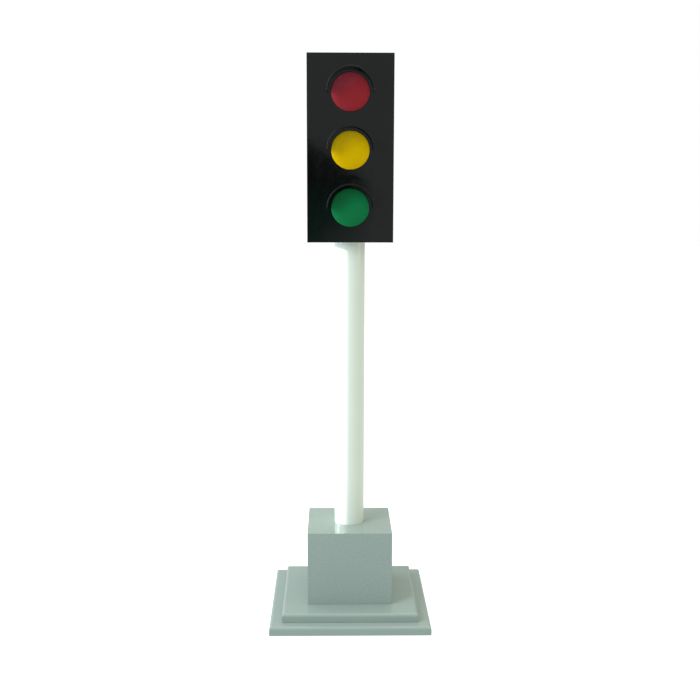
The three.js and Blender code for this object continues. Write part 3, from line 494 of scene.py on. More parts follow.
PORCELAIN = Finish(
    name="porcelain", slot="porcelain", colour=(0.80, 0.77, 0.70), roughness=0.18, coat=0.5,
    mottle=0.04, mottle_size=0.012, grain_size=0.004, grain_depth=0.00003,
)
FROSTED_GLASS = Finish(
    name="frosted_glass", slot="lamp_glass", colour=(0.90, 0.89, 0.85), roughness=0.34,
    mottle=0.02, mottle_size=0.01, grain_size=0.0004, grain_depth=0.00001,
)
ZINC = Plated(
    name="zinc_plate", slot="zinc_plate", colour=(0.60, 0.61, 0.62), roughness=0.33,
    roughness_drift=0.10, metallic=1.0, mottle=0.08, mottle_size=0.01, grain_depth=0.00001,
)
CHROME = Finish(
    name="chrome_plate", slot="chrome_plate", colour=(0.78, 0.79, 0.80), roughness=0.09,
    roughness_drift=0.04, metallic=1.0, mottle=0.03, mottle_size=0.02, grain_size=0.003,
    grain_depth=0.000004,
)
CIRCUIT_GREEN = Finish(
    name="circuit_board", slot="circuit_board", colour=(0.012, 0.13, 0.045), roughness=0.32,
    coat=0.3, mottle=0.2, mottle_size=0.006, grain_size=0.0012, grain_depth=0.00002,
)
SWITCH_BLACK = Finish(
    name="switch_black", slot="switch_black", colour=(0.014, 0.014, 0.015), roughness=0.36,
    mottle=0.12, mottle_size=0.012, grain_size=0.00035, grain_depth=0.000012,
)
PRINT_WHITE = Finish(
    name="print_white", slot="switch_black", colour=(0.72, 0.72, 0.70), roughness=0.5,
    mottle=0.05, mottle_size=0.003, grain_size=0.0004, grain_depth=0.000008,
)
NYLON = Finish(
    name="nylon", slot="nylon", colour=(0.70, 0.68, 0.61), roughness=0.45,
    mottle=0.05, mottle_size=0.01, grain_size=0.0006, grain_depth=0.00002,
)
GREY_SHEATH = Finish(
    name="grey_sheath", slot="grey_sheath", colour=(0.13, 0.14, 0.15), roughness=0.5,
    mottle=0.08, mottle_size=0.02, grain_size=0.0008, grain_depth=0.00002,
)
WIRE_RED = Finish(
    name="wire_red", slot="grey_sheath", colour=(0.42, 0.02, 0.02), roughness=0.42,
    mottle=0.06, mottle_size=0.01, grain_size=0.0008, grain_depth=0.00001,
)
WIRE_BLUE = Finish(
    name="wire_blue", slot="grey_sheath", colour=(0.02, 0.07, 0.34), roughness=0.42,
    mottle=0.06, mottle_size=0.01, grain_size=0.0008, grain_depth=0.00001,
)


# ---------------------------------------------------------------- shaping


def piece_of(name: str, shape: Shape) -> Piece:
    """Makes an object of a finished shape.

    Args:
        name: the object's name.
        shape: the shape, which is freed.

    Returns:
        The object, at the origin.
    """
    mesh = bpy.data.meshes.new(name)
    shape.to_mesh(mesh)
    shape.free()
    piece = bpy.data.objects.new(name, mesh)
    bpy.context.scene.collection.objects.link(piece)
    return piece


def settle(piece: Piece) -> Piece:
    """Turns what a piece's modifiers make into its own plain mesh.

    Args:
        piece: the object.

    Returns:
        The same object, with no modifiers.
    """
    graph = bpy.context.evaluated_depsgraph_get()
    graph.update()
    mesh = bpy.data.meshes.new_from_object(piece.evaluated_get(graph), depsgraph=graph)
    piece.modifiers.clear()
    old, piece.data = piece.data, mesh
    bpy.data.meshes.remove(old)
    mesh.name = piece.name
    return piece


def soften(piece: Piece, width: float, segments: int = 3) -> Piece:
    """Rounds a piece's sharp edges and keeps its flats flat.

    Args:
        piece: the object.
        width: how far the rounding reaches from each edge.
        segments: facets in each rounding.

    Returns:
        The same object.
    """
    piece.data.shade_smooth()
    bevel = piece.modifiers.new("rounding", "BEVEL")
    bevel.width = width
    bevel.segments = segments
    bevel.limit_method = "ANGLE"
    bevel.angle_limit = math.radians(35)
    bevel.use_clamp_overlap = True
    even = piece.modifiers.new("even_shading", "WEIGHTED_NORMAL")
    even.weight = 100
    return piece


def smooth(piece: Piece, angle: float = 40.0) -> Piece:
    """Shades a piece smooth up to an angle, with the large faces kept flat.

    Args:
        piece: the object.
        angle: edges sharper than this many degrees stay sharp.

    Returns:
        The same object.
    """
    piece.data.shade_smooth()
    piece.data.set_sharp_from_angle(angle=math.radians(angle))
    even = piece.modifiers.new("even_shading", "WEIGHTED_NORMAL")
    even.keep_sharp = True
    return piece


def box_shape(low: Sequence[float], high: Sequence[float]) -> Shape:
    """Makes a box from its lowest to its highest corner.

    Args:
        low: the lowest corner.
        high: the highest corner.

    Returns:
        The shape.
    """
    low, high = Vector(low), Vector(high)
    shape = bmesh.new()
    place = Matrix.Translation((low + high) / 2) @ Matrix.Diagonal((*(high - low), 1.0))
    bmesh.ops.create_cube(shape, size=1.0, matrix=place)
    return shape


def slab(name: str, low: Sequence[float], high: Sequence[float], rounding: float) -> Piece:
    """Makes a box with rounded edges.

    Args:
        name: the object's name.
        low: the lowest corner.
        high: the highest corner.
        rounding: how far the edge rounding reaches.

    Returns:
        The object.
    """
    return soften(piece_of(name, box_shape(low, high)), rounding)


def rounded(outline: Outline, radius: float, steps: int = 4) -> Outline:
    """Rounds the corners of an outline, except its ends.

    Args:
        outline: the outline's points. It is closed if its ends are the same.
        radius: how far along each side the rounding starts.
        steps: facets in each rounding.

    Returns:
        The rounded outline.
    """
    closed = outline[0] == outline[-1]
    points = [Vector(point) for point in outline]
    if closed:
        points.pop()
    count = len(points)
    result: list[Vector] = []
    for index, corner in enumerate(points):
        if not closed and index in (0, count - 1):
            result.append(corner)
            continue
        before, after = points[index - 1] - corner, points[(index + 1) % count] - corner
        reach = min(radius, before.length * 0.45, after.length * 0.45)
        start = corner + before.normalized() * reach
        end = corner + after.normalized() * reach
        for step in range(steps + 1):
            share = step / steps
            result.append(start.lerp(corner, share).lerp(corner.lerp(end, share), share))
    if closed:
        result.append(result[0])
    return [(point.x, point.y) for point in result]


def ring_outline(inner: float, outer: float, low: float, high: float) -> Outline:
    """Draws the closed section of a plain ring between two radii and two ends."""
    return [(inner, low), (outer, low), (outer, high), (inner, high), (inner, low)]


def turned(
    name: str, outline: Outline, centre: Sequence[float], axis: Axis = Axis.UP, sides: int = 64
) -> Piece:
    """Turns an outline about an axis into a closed solid.

    Args:
        name: the object's name.
        outline: [distance from the axis, distance along it]. It closes on itself, or starts
            and ends on the axis.
        centre: where the outline's zero lies.
        axis: the way the axis points.
        sides: facets round the axis.

    Returns:
        The object, shaded smooth.
    """
    shape = bmesh.new()
    closed = outline[0] == outline[-1]
    rows = outline[:-1] if closed else outline
    rings = []
    for radius, along in rows:
        if radius < 1e-7:
            rings.append([shape.verts.new(axis.point(0.0, along, 0.0))])
            continue
        angles = (2 * math.pi * side / sides for side in range(sides))
        rings.append([shape.verts.new(axis.point(radius, along, angle)) for angle in angles])
    pairs = list(zip(rings, rings[1:])) + ([(rings[-1], rings[0])] if closed else [])
    for first, second in pairs:
        for side in range(sides):
            following = (side + 1) % sides
            corners = [first[side % len(first)], first[following % len(first)],
                       second[following % len(second)], second[side % len(second)]]
            distinct = list(dict.fromkeys(corners))
            if len(distinct) > 2:
                shape.faces.new(distinct)
    bmesh.ops.translate(shape, verts=shape.verts, vec=Vector(centre))
    bmesh.ops.recalc_face_normals(shape, faces=shape.faces)
    return smooth(piece_of(name, shape))


def rod(
    name: str, radius: float, start: float, end: float, centre: Sequence[float], axis: Axis, sides: int = 48
) -> Piece:
    """Makes a plain cylinder, used to cut holes.

    Args:
        name: the object's name.
        radius: its radius.
        start: where it starts along its axis.
        end: where it ends along its axis.
        centre: where zero lies.
        axis: the way the axis points.
        sides: facets round it.

    Returns:
        The object.
    """
    outline = [(0.0, start), (radius, start), (radius, end), (0.0, end)]
    return turned(name, outline, centre, axis, sides)


def carve(piece: Piece, tools: Iterable[Piece]) -> Piece:
    """Cuts other objects out of a piece.

    Args:
        piece: the object to cut.
        tools: the objects that cut it, which are removed.

    Returns:
        The piece, with a plain mesh.
    """
    tools = list(tools)
    for tool in tools:
        cut = piece.modifiers.new("cut", "BOOLEAN")
        cut.operation = "DIFFERENCE"
        cut.solver = "EXACT"
        cut.object = tool
    settle(piece)
    for tool in tools:
        bpy.data.objects.remove(tool)
    shape = bmesh.new()
    shape.from_mesh(piece.data)
    bmesh.ops.remove_doubles(shape, verts=shape.verts, dist=1e-6)
    shape.to_mesh(piece.data)
    shape.free()
    return piece


def copy_of(name: str, node: str) -> Piece:
    """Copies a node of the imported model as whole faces, ready for its edges to be rounded.

    Args:
        name: the copy's name.
        node: the node's name.

    Returns:
        The copy.
    """
    shape = bmesh.new()
    shape.from_mesh(frame["nodes"][node].data)
    bmesh.ops.remove_doubles(shape, verts=shape.verts, dist=2e-6)
    bmesh.ops.dissolve_limit(
        shape,
        angle_limit=math.radians(0.5),
        verts=shape.verts,
        edges=shape.edges,
        use_dissolve_boundaries=False,
    )
    return piece_of(name, shape)


def tube(name: str, route: Sequence[Sequence[float]], radius: float, sides: int = 5) -> Piece:
    """Makes a round tube along a smooth route.

    Args:
        name: the object's name.
        route: the points the middle of the tube passes through.
        radius: the tube's radius.
        sides: quarter-circle resolution.

    Returns:
        The object, as a mesh.
    """
    curve = bpy.data.curves.new(name, "CURVE")
    curve.dimensions = "3D"
    curve.bevel_depth = radius
    curve.bevel_resolution = sides
    curve.resolution_u = 8
    curve.use_fill_caps = True
    line = curve.splines.new("BEZIER")
    line.bezier_points.add(len(route) - 1)
    for point, place in zip(line.bezier_points, route):
        point.co = place
        point.handle_left_type = point.handle_right_type = "AUTO"
    drawn = bpy.data.objects.new(name + "_line", curve)
    bpy.context.scene.collection.objects.link(drawn)
    graph = bpy.context.evaluated_depsgraph_get()
    graph.update()
    mesh = bpy.data.meshes.new_from_object(drawn.evaluated_get(graph), depsgraph=graph)
    bpy.data.objects.remove(drawn)
    mesh.name = name
    piece = bpy.data.objects.new(name, mesh)
    bpy.context.scene.collection.objects.link(piece)
    shape = bmesh.new()
    shape.from_mesh(mesh)
    bmesh.ops.remove_doubles(shape, verts=shape.verts, dist=1e-6)
    bmesh.ops.recalc_face_normals(shape, faces=shape.faces)
    shape.to_mesh(mesh)
    shape.free()
    return smooth(piece, 50.0)


def joined(name: str, pieces: Sequence[Piece]) -> Piece:
    """Joins settled pieces into one object.

    Args:
        name: the object's name.
        pieces: the pieces, which are removed.

    Returns:
        The object.
    """
    shape = bmesh.new()
    for piece in pieces:
        settle(piece)
        shape.from_mesh(piece.data)
        bpy.data.objects.remove(piece)
    whole = piece_of(name, shape)
    return smooth(whole)


# ---------------------------------------------------------------- geometry-nodes recipes


class Recipe:
    """A geometry-nodes tree with named inputs, which ends realized and with its material set."""

    def __init__(self, name: str, inputs: dict[str, float | int | tuple[float, float, float]]) -> None:
        """Starts the tree.

        Args:
            name: the tree's name.
            inputs: each input's name and usual value.
        """
        self.tree = bpy.data.node_groups.new(name, "GeometryNodeTree")
        self.graph = Graph(self.tree)
        face = self.tree.interface
        face.new_socket("Geometry", in_out="INPUT", socket_type="NodeSocketGeometry")
        for label, usual in inputs.items():
            kind = {int: "NodeSocketInt", float: "NodeSocketFloat", tuple: "NodeSocketVector"}[type(usual)]
            face.new_socket(label, in_out="INPUT", socket_type=kind).default_value = usual
        face.new_socket("Material", in_out="INPUT", socket_type="NodeSocketMaterial")
        face.new_socket("Geometry", in_out="OUTPUT", socket_type="NodeSocketGeometry")
        self.given = self.tree.nodes.new("NodeGroupInput").outputs

    def close(self, geometry: Socket) -> "Recipe":
        """Ends the tree with realized instances and the material.

        Args:
            geometry: what the tree has made.

        Returns:
            The recipe.
        """
        real = self.graph.add("GeometryNodeRealizeInstances", {0: geometry})
        painted = self.graph.add(
            "GeometryNodeSetMaterial", {"Geometry": real.outputs[0], "Material": self.given["Material"]}
        )
        self.graph.add("NodeGroupOutput", {0: painted.outputs[0]})
        return self

    def run(self, name: str, host: bpy.types.Mesh, finish: Finish, **values: object) -> Piece:
        """Runs the tree and keeps its result as a plain mesh.

        Args:
            name: the new object's name.
            host: the mesh the tree starts from.
            finish: the finish of the result.
            values: inputs by name, with _ for a space.

        Returns:
            The object.
        """
        holder = bpy.data.objects.new(name, host)
        bpy.context.scene.collection.objects.link(holder)
        modifier = holder.modifiers.new("recipe", "NODES")
        modifier.node_group = self.tree
        wanted = {key.replace("_", " "): value for key, value in values.items()}
        wanted["Material"] = finish.material()
        for item in self.tree.interface.items_tree:
            if item.in_out == "INPUT" and item.name in wanted:
                modifier[item.identifier] = wanted[item.name]
        settle(holder)
        return smooth(holder)

    def turn_to_y(self, geometry: Socket, place: object) -> Socket:
        """Tips what was drawn in X and Y up into X and Z, and moves it.

        Args:
            geometry: what was drawn.
            place: the socket or the value of its new place.

        Returns:
            The turned geometry.
        """
        inputs = {"Geometry": geometry, "Translation": place, "Rotation": (math.pi / 2, 0.0, 0.0)}
        return self.graph.add("GeometryNodeTransform", inputs).outputs[0]


def points_mesh(name: str, places: Sequence[Sequence[float]], outward: Sequence[float]) -> bpy.types.Mesh:
    """Makes a mesh of loose points that all face one way.

    Args:
        name: the mesh's name.
        places: the points.
        outward: the way they face.

    Returns:
        The mesh, with an "outward" attribute.
    """
    mesh = bpy.data.meshes.new(name)
    mesh.from_pydata([tuple(place) for place in places], [], [])
    facing = mesh.attributes.new("outward", "FLOAT_VECTOR", "POINT")
    for entry in facing.data:
        entry.vector = outward
    return mesh


def scatter(recipe: Recipe, instance: Socket, turn: object = 0.0) -> Socket:
    """Puts a copy of something on each host point, with its Z along the point's outward.

    Args:
        recipe: the recipe being built.
        instance: what is copied.
        turn: a socket or an angle that turns each copy about its own axis.

    Returns:
        The instances.
    """
    graph = recipe.graph
    outward = graph.add("GeometryNodeInputNamedAttribute", {"Name": "outward"}, data_type="FLOAT_VECTOR")
    aimed = graph.add("FunctionNodeAlignRotationToVector", {"Vector": outward.outputs[0]}, axis="Z")
    spin = graph.add("FunctionNodeAxisAngleToRotation", {"Axis": (0.0, 0.0, 1.0), "Angle": turn})
    placed = graph.add(
        "FunctionNodeRotateRotation",
        {"Rotation": aimed.outputs[0], "Rotate By": spin.outputs[0]},
        rotation_space="LOCAL",
    )
    copies = graph.add(
        "GeometryNodeInstanceOnPoints",
        {"Points": recipe.given["Geometry"], "Instance": instance, "Rotation": placed.outputs[0]},
    )
    return copies.outputs[0]


def any_turn(recipe: Recipe) -> Socket:
    """Gives each point an angle of its own, up to half a turn, from the recipe's seed."""
    inputs = {"Min": 0.0, "Max": math.pi, "Seed": recipe.given["Seed"]}
    chance = recipe.graph.add("FunctionNodeRandomValue", inputs, data_type="FLOAT")
    return next(socket for socket in chance.outputs if socket.enabled)


def moved(graph: Graph, geometry: object, shift: object, scale: object = (1.0, 1.0, 1.0)) -> Socket:
    """Moves and scales geometry inside a recipe.

    Args:
        graph: the tree.
        geometry: what is moved.
        shift: how far, as a vector or its socket.
        scale: the scale along each axis.

    Returns:
        The moved geometry.
    """
    inputs = {"Geometry": geometry, "Translation": shift, "Scale": scale}
    return graph.add("GeometryNodeTransform", inputs).outputs[0]


def vector(graph: Graph, x: object, y: object, z: object) -> Socket:
    """Makes a vector of three numbers or sockets inside a recipe."""
    return graph.add("ShaderNodeCombineXYZ", {0: x, 1: y, 2: z}).outputs[0]


def screw_recipe() -> Recipe:
    """Builds domed screw heads with a cross recess, each turned by chance.

    Returns:
        The recipe, which puts a screw on each host point.
    """
    recipe = Recipe("cross_head_screws", {"Radius": 0.003, "Height": 0.0014, "Seed": 7})
    graph, given = recipe.graph, recipe.given
    dome = graph.add("GeometryNodeMeshUVSphere", {"Segments": 28, "Rings": 14, "Radius": 1.0})
    flattened = vector(graph, given["Radius"], given["Radius"], given["Height"])
    head = moved(graph, dome.outputs[0], (0.0, 0.0, 0.0), flattened)
    long_side = graph.math("MULTIPLY", given["Radius"], 1.15)
    short_side = graph.math("MULTIPLY", given["Radius"], 0.26)
    depth = graph.math("MULTIPLY", given["Height"], 1.1)
    bars = graph.add("GeometryNodeJoinGeometry")
    for across, along in ((long_side, short_side), (short_side, long_side)):
        bar = graph.add("GeometryNodeMeshCube", {"Size": vector(graph, across, along, depth)})
        lifted = moved(graph, bar.outputs[0], vector(graph, 0.0, 0.0, given["Height"]))
        graph.tree.links.new(lifted, bars.inputs[0])
    slotted = graph.add(
        "GeometryNodeMeshBoolean",
        {"Mesh 1": head, "Mesh 2": bars.outputs[0], "Self Intersection": True},
        operation="DIFFERENCE",
        solver="EXACT",
    )
    return recipe.close(scatter(recipe, slotted.outputs[0], any_turn(recipe)))


def bolt_recipe() -> Recipe:
    """Builds hexagon bolts with chamfered heads, washers and shanks.

    Returns:
        The recipe, which puts a bolt's washer on each host point.
    """
    usual = {"Radius": 0.0075, "Height": 0.0053, "Washer Radius": 0.008, "Washer": 0.0016,
             "Shank Radius": 0.004, "Reach": 0.019, "Seed": 11}
    recipe = Recipe("hexagon_bolts", usual)
    graph, given = recipe.graph, recipe.given
    hexagon = graph.add(
        "GeometryNodeMeshCylinder",
        {"Vertices": 6, "Radius": given["Radius"], "Depth": given["Height"]},
    )
    wide = graph.math("MULTIPLY", given["Radius"], 1.10)
    narrow = graph.math("MULTIPLY", given["Radius"], 0.86)
    crown = graph.add(
        "GeometryNodeMeshCone",
        {"Vertices": 48, "Radius Top": narrow, "Radius Bottom": wide, "Depth": given["Height"]},
    )
    low = graph.math("MULTIPLY", given["Height"], -0.5)
    crown_up = moved(graph, crown.outputs[0], vector(graph, 0.0, 0.0, low))
    head = graph.add(
        "GeometryNodeMeshBoolean",
        {"Mesh 2": hexagon.outputs[0]},
        operation="INTERSECT",
        solver="EXACT",
    )
    graph.tree.links.new(crown_up, head.inputs["Mesh 2"])
    lift = graph.math("ADD", given["Washer"], graph.math("MULTIPLY", given["Height"], 0.5))
    head_up = moved(graph, head.outputs[0], vector(graph, 0.0, 0.0, lift))
    washer = graph.add(
        "GeometryNodeMeshCylinder",
        {"Vertices": 40, "Radius": given["Washer Radius"], "Depth": given["Washer"]},
    )
    half_washer = graph.math("MULTIPLY", given["Washer"], 0.5)
    washer_up = moved(graph, washer.outputs[0], vector(graph, 0.0, 0.0, half_washer))
    shank = graph.add(
        "GeometryNodeMeshCylinder",
        {"Vertices": 24, "Radius": given["Shank Radius"], "Depth": given["Reach"]},
    )
    half_down = graph.math("MULTIPLY", given["Reach"], -0.5)
    shank_down = moved(graph, shank.outputs[0], vector(graph, 0.0, 0.0, half_down))
    whole = graph.add("GeometryNodeJoinGeometry")
    for part in (head_up, washer_up, shank_down):
        graph.tree.links.new(part, whole.inputs[0])
    return recipe.close(scatter(recipe, whole.outputs[0], any_turn(recipe)))


def hood_recipe() -> Recipe:
    """Builds a half-round hood: a strip with rounded edges swept along an arc.

    Returns:
        The recipe. Its place is the middle of the arc where the hood meets the sheet.
    """
    usual = {"Radius": 0.057, "Wall": 0.0025, "Reach": 0.045, "Edge": 0.0008, "Place": (0.0, 0.0, 0.0)}
    recipe = Recipe("half_round_hood", usual)
    graph, given = recipe.graph, recipe.given
    middle = graph.math("SUBTRACT", given["Radius"], graph.math("MULTIPLY", given["Wall"], 0.5))
    arc = graph.add(
        "GeometryNodeCurveArc",
        {"Resolution": 97, "Radius": middle, "Start Angle": 0.0, "Sweep Angle": math.pi},
    )
    strip = graph.add(
        "GeometryNodeCurvePrimitiveQuadrilateral", {"Width": given["Wall"], "Height": given["Reach"]}
    )
    edge = graph.add(
        "GeometryNodeFilletCurve",
        {"Curve": strip.outputs[0], "Count": 3, "Radius": given["Edge"], "Limit Radius": True},
        mode="POLY",
    )
    swept = graph.add(
        "GeometryNodeCurveToMesh",
        {"Curve": arc.outputs[0], "Profile Curve": edge.outputs[0], "Fill Caps": True},
    )
    forward = graph.math("MULTIPLY", given["Reach"], -0.5)
    place = graph.add(
        "ShaderNodeVectorMath", {0: given["Place"], 1: vector(graph, 0.0, forward, 0.0)}, operation="ADD"
    )
    return recipe.close(recipe.turn_to_y(swept.outputs[0], place.outputs[0]))


def knurl_recipe() -> Recipe:
    """Builds a ring of grip ridges about an axis along Y.

    Returns:
        The recipe.
    """
    usual = {"Count": 32, "Radius": 0.0115, "Ridge": 0.0007, "Length": 0.009, "Place": (0.0, 0.0, 0.0)}
    recipe = Recipe("grip_ridges", usual)
    graph, given = recipe.graph, recipe.given
    ring = graph.add("GeometryNodeMeshCircle", {"Vertices": given["Count"], "Radius": given["Radius"]})
    ridge = graph.add(
        "GeometryNodeMeshCylinder", {"Vertices": 10, "Radius": given["Ridge"], "Depth": given["Length"]}
    )
    ridges = graph.add(
        "GeometryNodeInstanceOnPoints", {"Points": ring.outputs[0], "Instance": ridge.outputs[0]}
    )
    return recipe.close(recipe.turn_to_y(ridges.outputs[0], given["Place"]))


def tie_recipe() -> Recipe:
    """Builds cable ties: a flat band round each host point, and its locking head.

    Returns:
        The recipe.
    """
    recipe = Recipe("cable_ties", {"Radius": 0.0042, "Width": 0.003, "Band": 0.001})
    graph, given = recipe.graph, recipe.given
    round_it = graph.add("GeometryNodeCurvePrimitiveCircle", {"Resolution": 40, "Radius": given["Radius"]})
    band = graph.add(
        "GeometryNodeCurvePrimitiveQuadrilateral", {"Width": given["Band"], "Height": given["Width"]}
    )
    strap = graph.add(
        "GeometryNodeCurveToMesh", {"Curve": round_it.outputs[0], "Profile Curve": band.outputs[0]}
    )
    side = graph.math("MULTIPLY", given["Width"], 1.5)
    lock = graph.add("GeometryNodeMeshCube", {"Size": vector(graph, given["Width"], side, side)})
    outside = graph.math("ADD", given["Radius"], given["Band"])
    lock_out = moved(graph, lock.outputs[0], vector(graph, outside, 0.0, 0.0))
    whole = graph.add("GeometryNodeJoinGeometry")
    for part in (strap.outputs[0], lock_out):
        graph.tree.links.new(part, whole.inputs[0])
    return recipe.close(scatter(recipe, whole.outputs[0]))


class Recipes:
    """The recipes that the sub-assemblies share, each built once."""

    def __init__(self) -> None:
        """Builds the trees."""
        self.screws = screw_recipe()
        self.bolts = bolt_recipe()
        self.hood = hood_recipe()
        self.knurl = knurl_recipe()
        self.ties = tie_recipe()
        self.nothing = bpy.data.meshes.new("nothing")

    def screw_set(
        self,
        name: str,
        places: Sequence[Sequence[float]],
        outward: Sequence[float],
        radius: float,
        finish: Finish,
    ) -> Piece:
        """Makes a set of screw heads that face one way.

        Args:
            name: the object's name.
            places: where the heads sit.
            outward: the way they face.
            radius: a head's radius.
            finish: their finish.

        Returns:
            The object.
        """
        host = points_mesh(name, places, outward)
        return self.screws.run(name, host, finish, Radius=radius, Height=radius * 0.5)


# ---------------------------------------------------------------- sub-assemblies


@dataclass
class Assembly:
    """A sub-assembly: the body its pieces ride on, and the pieces made so far."""

    recipes: Recipes
    body: str = "signal"
    pieces: list[str] = field(default_factory=list)

    def add(self, piece: Piece, finish: Finish, *nodes: str) -> Piece:
        """Dresses a piece, hangs it on the body, and lets it stand for its nodes.

        Args:
            piece: the object.
            finish: its finish.
            nodes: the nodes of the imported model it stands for.

        Returns:
            The same object.
        """
        piece.data.materials.clear()
        piece.data.materials.append(finish.material())
        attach(piece, self.body)
        if nodes:
            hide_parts(*nodes)
        self.pieces.append(piece.name)
        return piece

    def refine(self, node: str, finish: Finish, edge: float) -> Piece:
        """Stands a copy with rounded edges in a node's place.

        Args:
            node: the node's name.
            finish: its finish.
            edge: how far the edge rounding reaches.

        Returns:
            The copy.
        """
        return self.add(soften(copy_of(node + "_made", node), edge), finish, node)

    def build(self) -> None:
        """Makes the sub-assembly's pieces."""
        raise NotImplementedError

    def report(self) -> None:
        """Logs each piece made."""
        for name in self.pieces:
            LOG.info("%s: %s", type(self).__name__, name)


@dataclass
class Plinth(Assembly):
    """Two stacked square boards with a quarter-round top edge."""

    round_over: float = 8 * MM
    corner: float = 1.6 * MM
    arris: float = 0.8 * MM
    steps: int = 8
    corner_steps: int = 4

    def build(self) -> None:
        """Makes both boards."""
        for node in ("base_plate", "step_plate"):
            self.add(self._board(node), GREY_ENAMEL, node)

    def _board(self, node: str) -> Piece:
        """Makes one board: a stack of rounded squares that follow its edge's profile.

        Args:
            node: the board's node.

        Returns:
            The board.
        """
        place = Place.of(node)
        profile = [
            *self._quarter(self.arris, place.low.z + self.arris, -1),
            *self._quarter(self.round_over, place.high.z - self.round_over, 1),
        ]
        shape = bmesh.new()
        rings = [self._ring(shape, place, inset, height) for inset, height in profile]
        for lower, upper in zip(rings, rings[1:]):
            for index, corner in enumerate(lower):
                following = (index + 1) % len(lower)
                shape.faces.new((corner, lower[following], upper[following], upper[index]))
        shape.faces.new(list(reversed(rings[0])))
        shape.faces.new(rings[-1])
        return smooth(piece_of(node + "_made", shape), 50.0)

    def _quarter(self, radius: float, level: float, way: int) -> Outline:
        """Follows a quarter of a circle at the board's edge.

        Args:
            radius: the quarter's radius.
            level: the height where it meets the upright face.
            way: 1 to curve in and up, -1 for the lower edge.

        Returns:
            [inset, height] from the lowest point up.
        """
        angles = [math.pi / 2 * step / self.steps for step in range(self.steps + 1)]
        points = [(radius * (1 - math.cos(a)), level + way * radius * math.sin(a)) for a in angles]
        return points if way > 0 else points[::-1]

    def _ring(self, shape: Shape, place: Place, inset: float, height: float) -> list[bmesh.types.BMVert]:
        """Adds the corners of a rounded square at one height.

        Args:
            shape: the shape to add to.
            place: the board's box.
            inset: how far the square lies inside the box.
            height: its height.

        Returns:
            Its corners in turn.
        """
        radius = max(self.corner - inset * 0.5, self.corner * 0.25)
        reach_x, reach_y = place.size.x / 2 - inset - radius, place.size.y / 2 - inset - radius
        corners = []
        for quarter, (side_x, side_y) in enumerate(((1, 1), (-1, 1), (-1, -1), (1, -1))):
            for step in range(self.corner_steps + 1):
                angle = math.pi / 2 * (quarter + step / self.corner_steps)
                x = place.middle.x + side_x * reach_x + radius * math.cos(angle)
                y = place.middle.y + side_y * reach_y + radius * math.sin(angle)
                corners.append(shape.verts.new((x, y, height)))
        return corners


@dataclass
class Block(Assembly):
    """The box on the plinth: four mitred walls and a lid that the pole goes through."""

    arris: float = 0.7 * MM
    pole_gap: float = 0.35 * MM

    def build(self) -> None:
        """Makes the walls and the lid."""
        for side in ("front", "right", "left", "back"):
            self.refine(f"block_{side}_board", GREY_ENAMEL, self.arris)
        self._lid()

    def _lid(self) -> None:
        """Makes the mitred lid, with a hole that fits the pole closely."""
        place = Place.of("block_top_board")
        wall = place.size.z
        shape = box_shape(place.low, place.high)
        for vertex in shape.verts:
            if vertex.co.z < place.middle.z:
                vertex.co.x -= math.copysign(wall, vertex.co.x)
                vertex.co.y -= math.copysign(wall, vertex.co.y)
        lid = piece_of("block_top_board_made", shape)
        pole = Place.of("pole_tube")
        radius = pole.size.x / 2 + self.pole_gap
        hole = rod("pole_hole", radius, place.low.z - wall, place.high.z + wall, (0, 0, 0), Axis.UP, 96)
        self.add(soften(carve(lid, [hole]), self.arris), GREY_ENAMEL, "block_top_board")


@dataclass
class Pole(Assembly):
    """The tube, its top flange under the head, and the fixings at both ends."""

    edge: float = 0.6 * MM
    bolt_reach: float = 38 * MM

    def build(self) -> None:
        """Makes the tube, the flanges and the bolts."""
        self._tube()
        self._top_flange()
        self.refine("floor_flange", ZINC, 0.5 * MM)
        self._floor_bolts()

    def _tube(self) -> None:
        """Makes the tube, open at both ends."""
        place = Place.of("pole_tube")
        outer, wall = place.size.x / 2, 2 * MM
        inner = outer - wall
        low, high = place.low.z, place.high.z
        outline = ring_outline(inner, outer, low, high)
        body = turned("pole_tube_made", rounded(outline, self.edge), (0, 0, 0), Axis.UP, 128)
        self.add(body, WHITE_ENAMEL, "pole_tube")
        Studio.side_light(body)

    def _top_flange(self) -> None:
        """Makes the flange: a spigot in the tube and a rim that shows under the head."""
        place, pole, hole = Place.of("pole_top_flange"), Place.of("pole_tube"), Place.of("cable_grommet")
        rim, spigot = place.size.x / 2, pole.size.x / 2 - 2.3 * MM
        bore = hole.size.x / 2 - 1 * MM
        low, seat, high = place.low.z, pole.high.z, place.high.z
        outline = [
            (bore, seat), (spigot - 5 * MM, seat), (spigot - 5 * MM, low), (spigot, low), (spigot, seat),
            (rim, seat), (rim, high), (bore, high), (bore, seat),
        ]
        flange = turned("pole_top_flange_made", rounded(outline, 0.5 * MM), (0, 0, 0), Axis.UP, 128)
        # The flange takes the lighter copy of the white enamel, whose extra lightness is painted light.
        self.add(flange, RING_WHITE_PAINTED_LIGHT, "pole_top_flange")

    def _floor_bolts(self) -> None:
        """Makes the four bolts through the floor flange."""
        names = [f"floor_bolt_{number}" for number in range(1, 5)]
        seat = Place.of("floor_flange").low.z + 6 * MM
        places = [(Place.of(name).middle.x, Place.of(name).middle.y, seat) for name in names]
        host = points_mesh("floor_bolts", places, (0, 0, 1))
        bolts = self.recipes.bolts.run("floor_bolts", host, ZINC, Reach=self.bolt_reach)
        self.add(bolts, ZINC, *names)


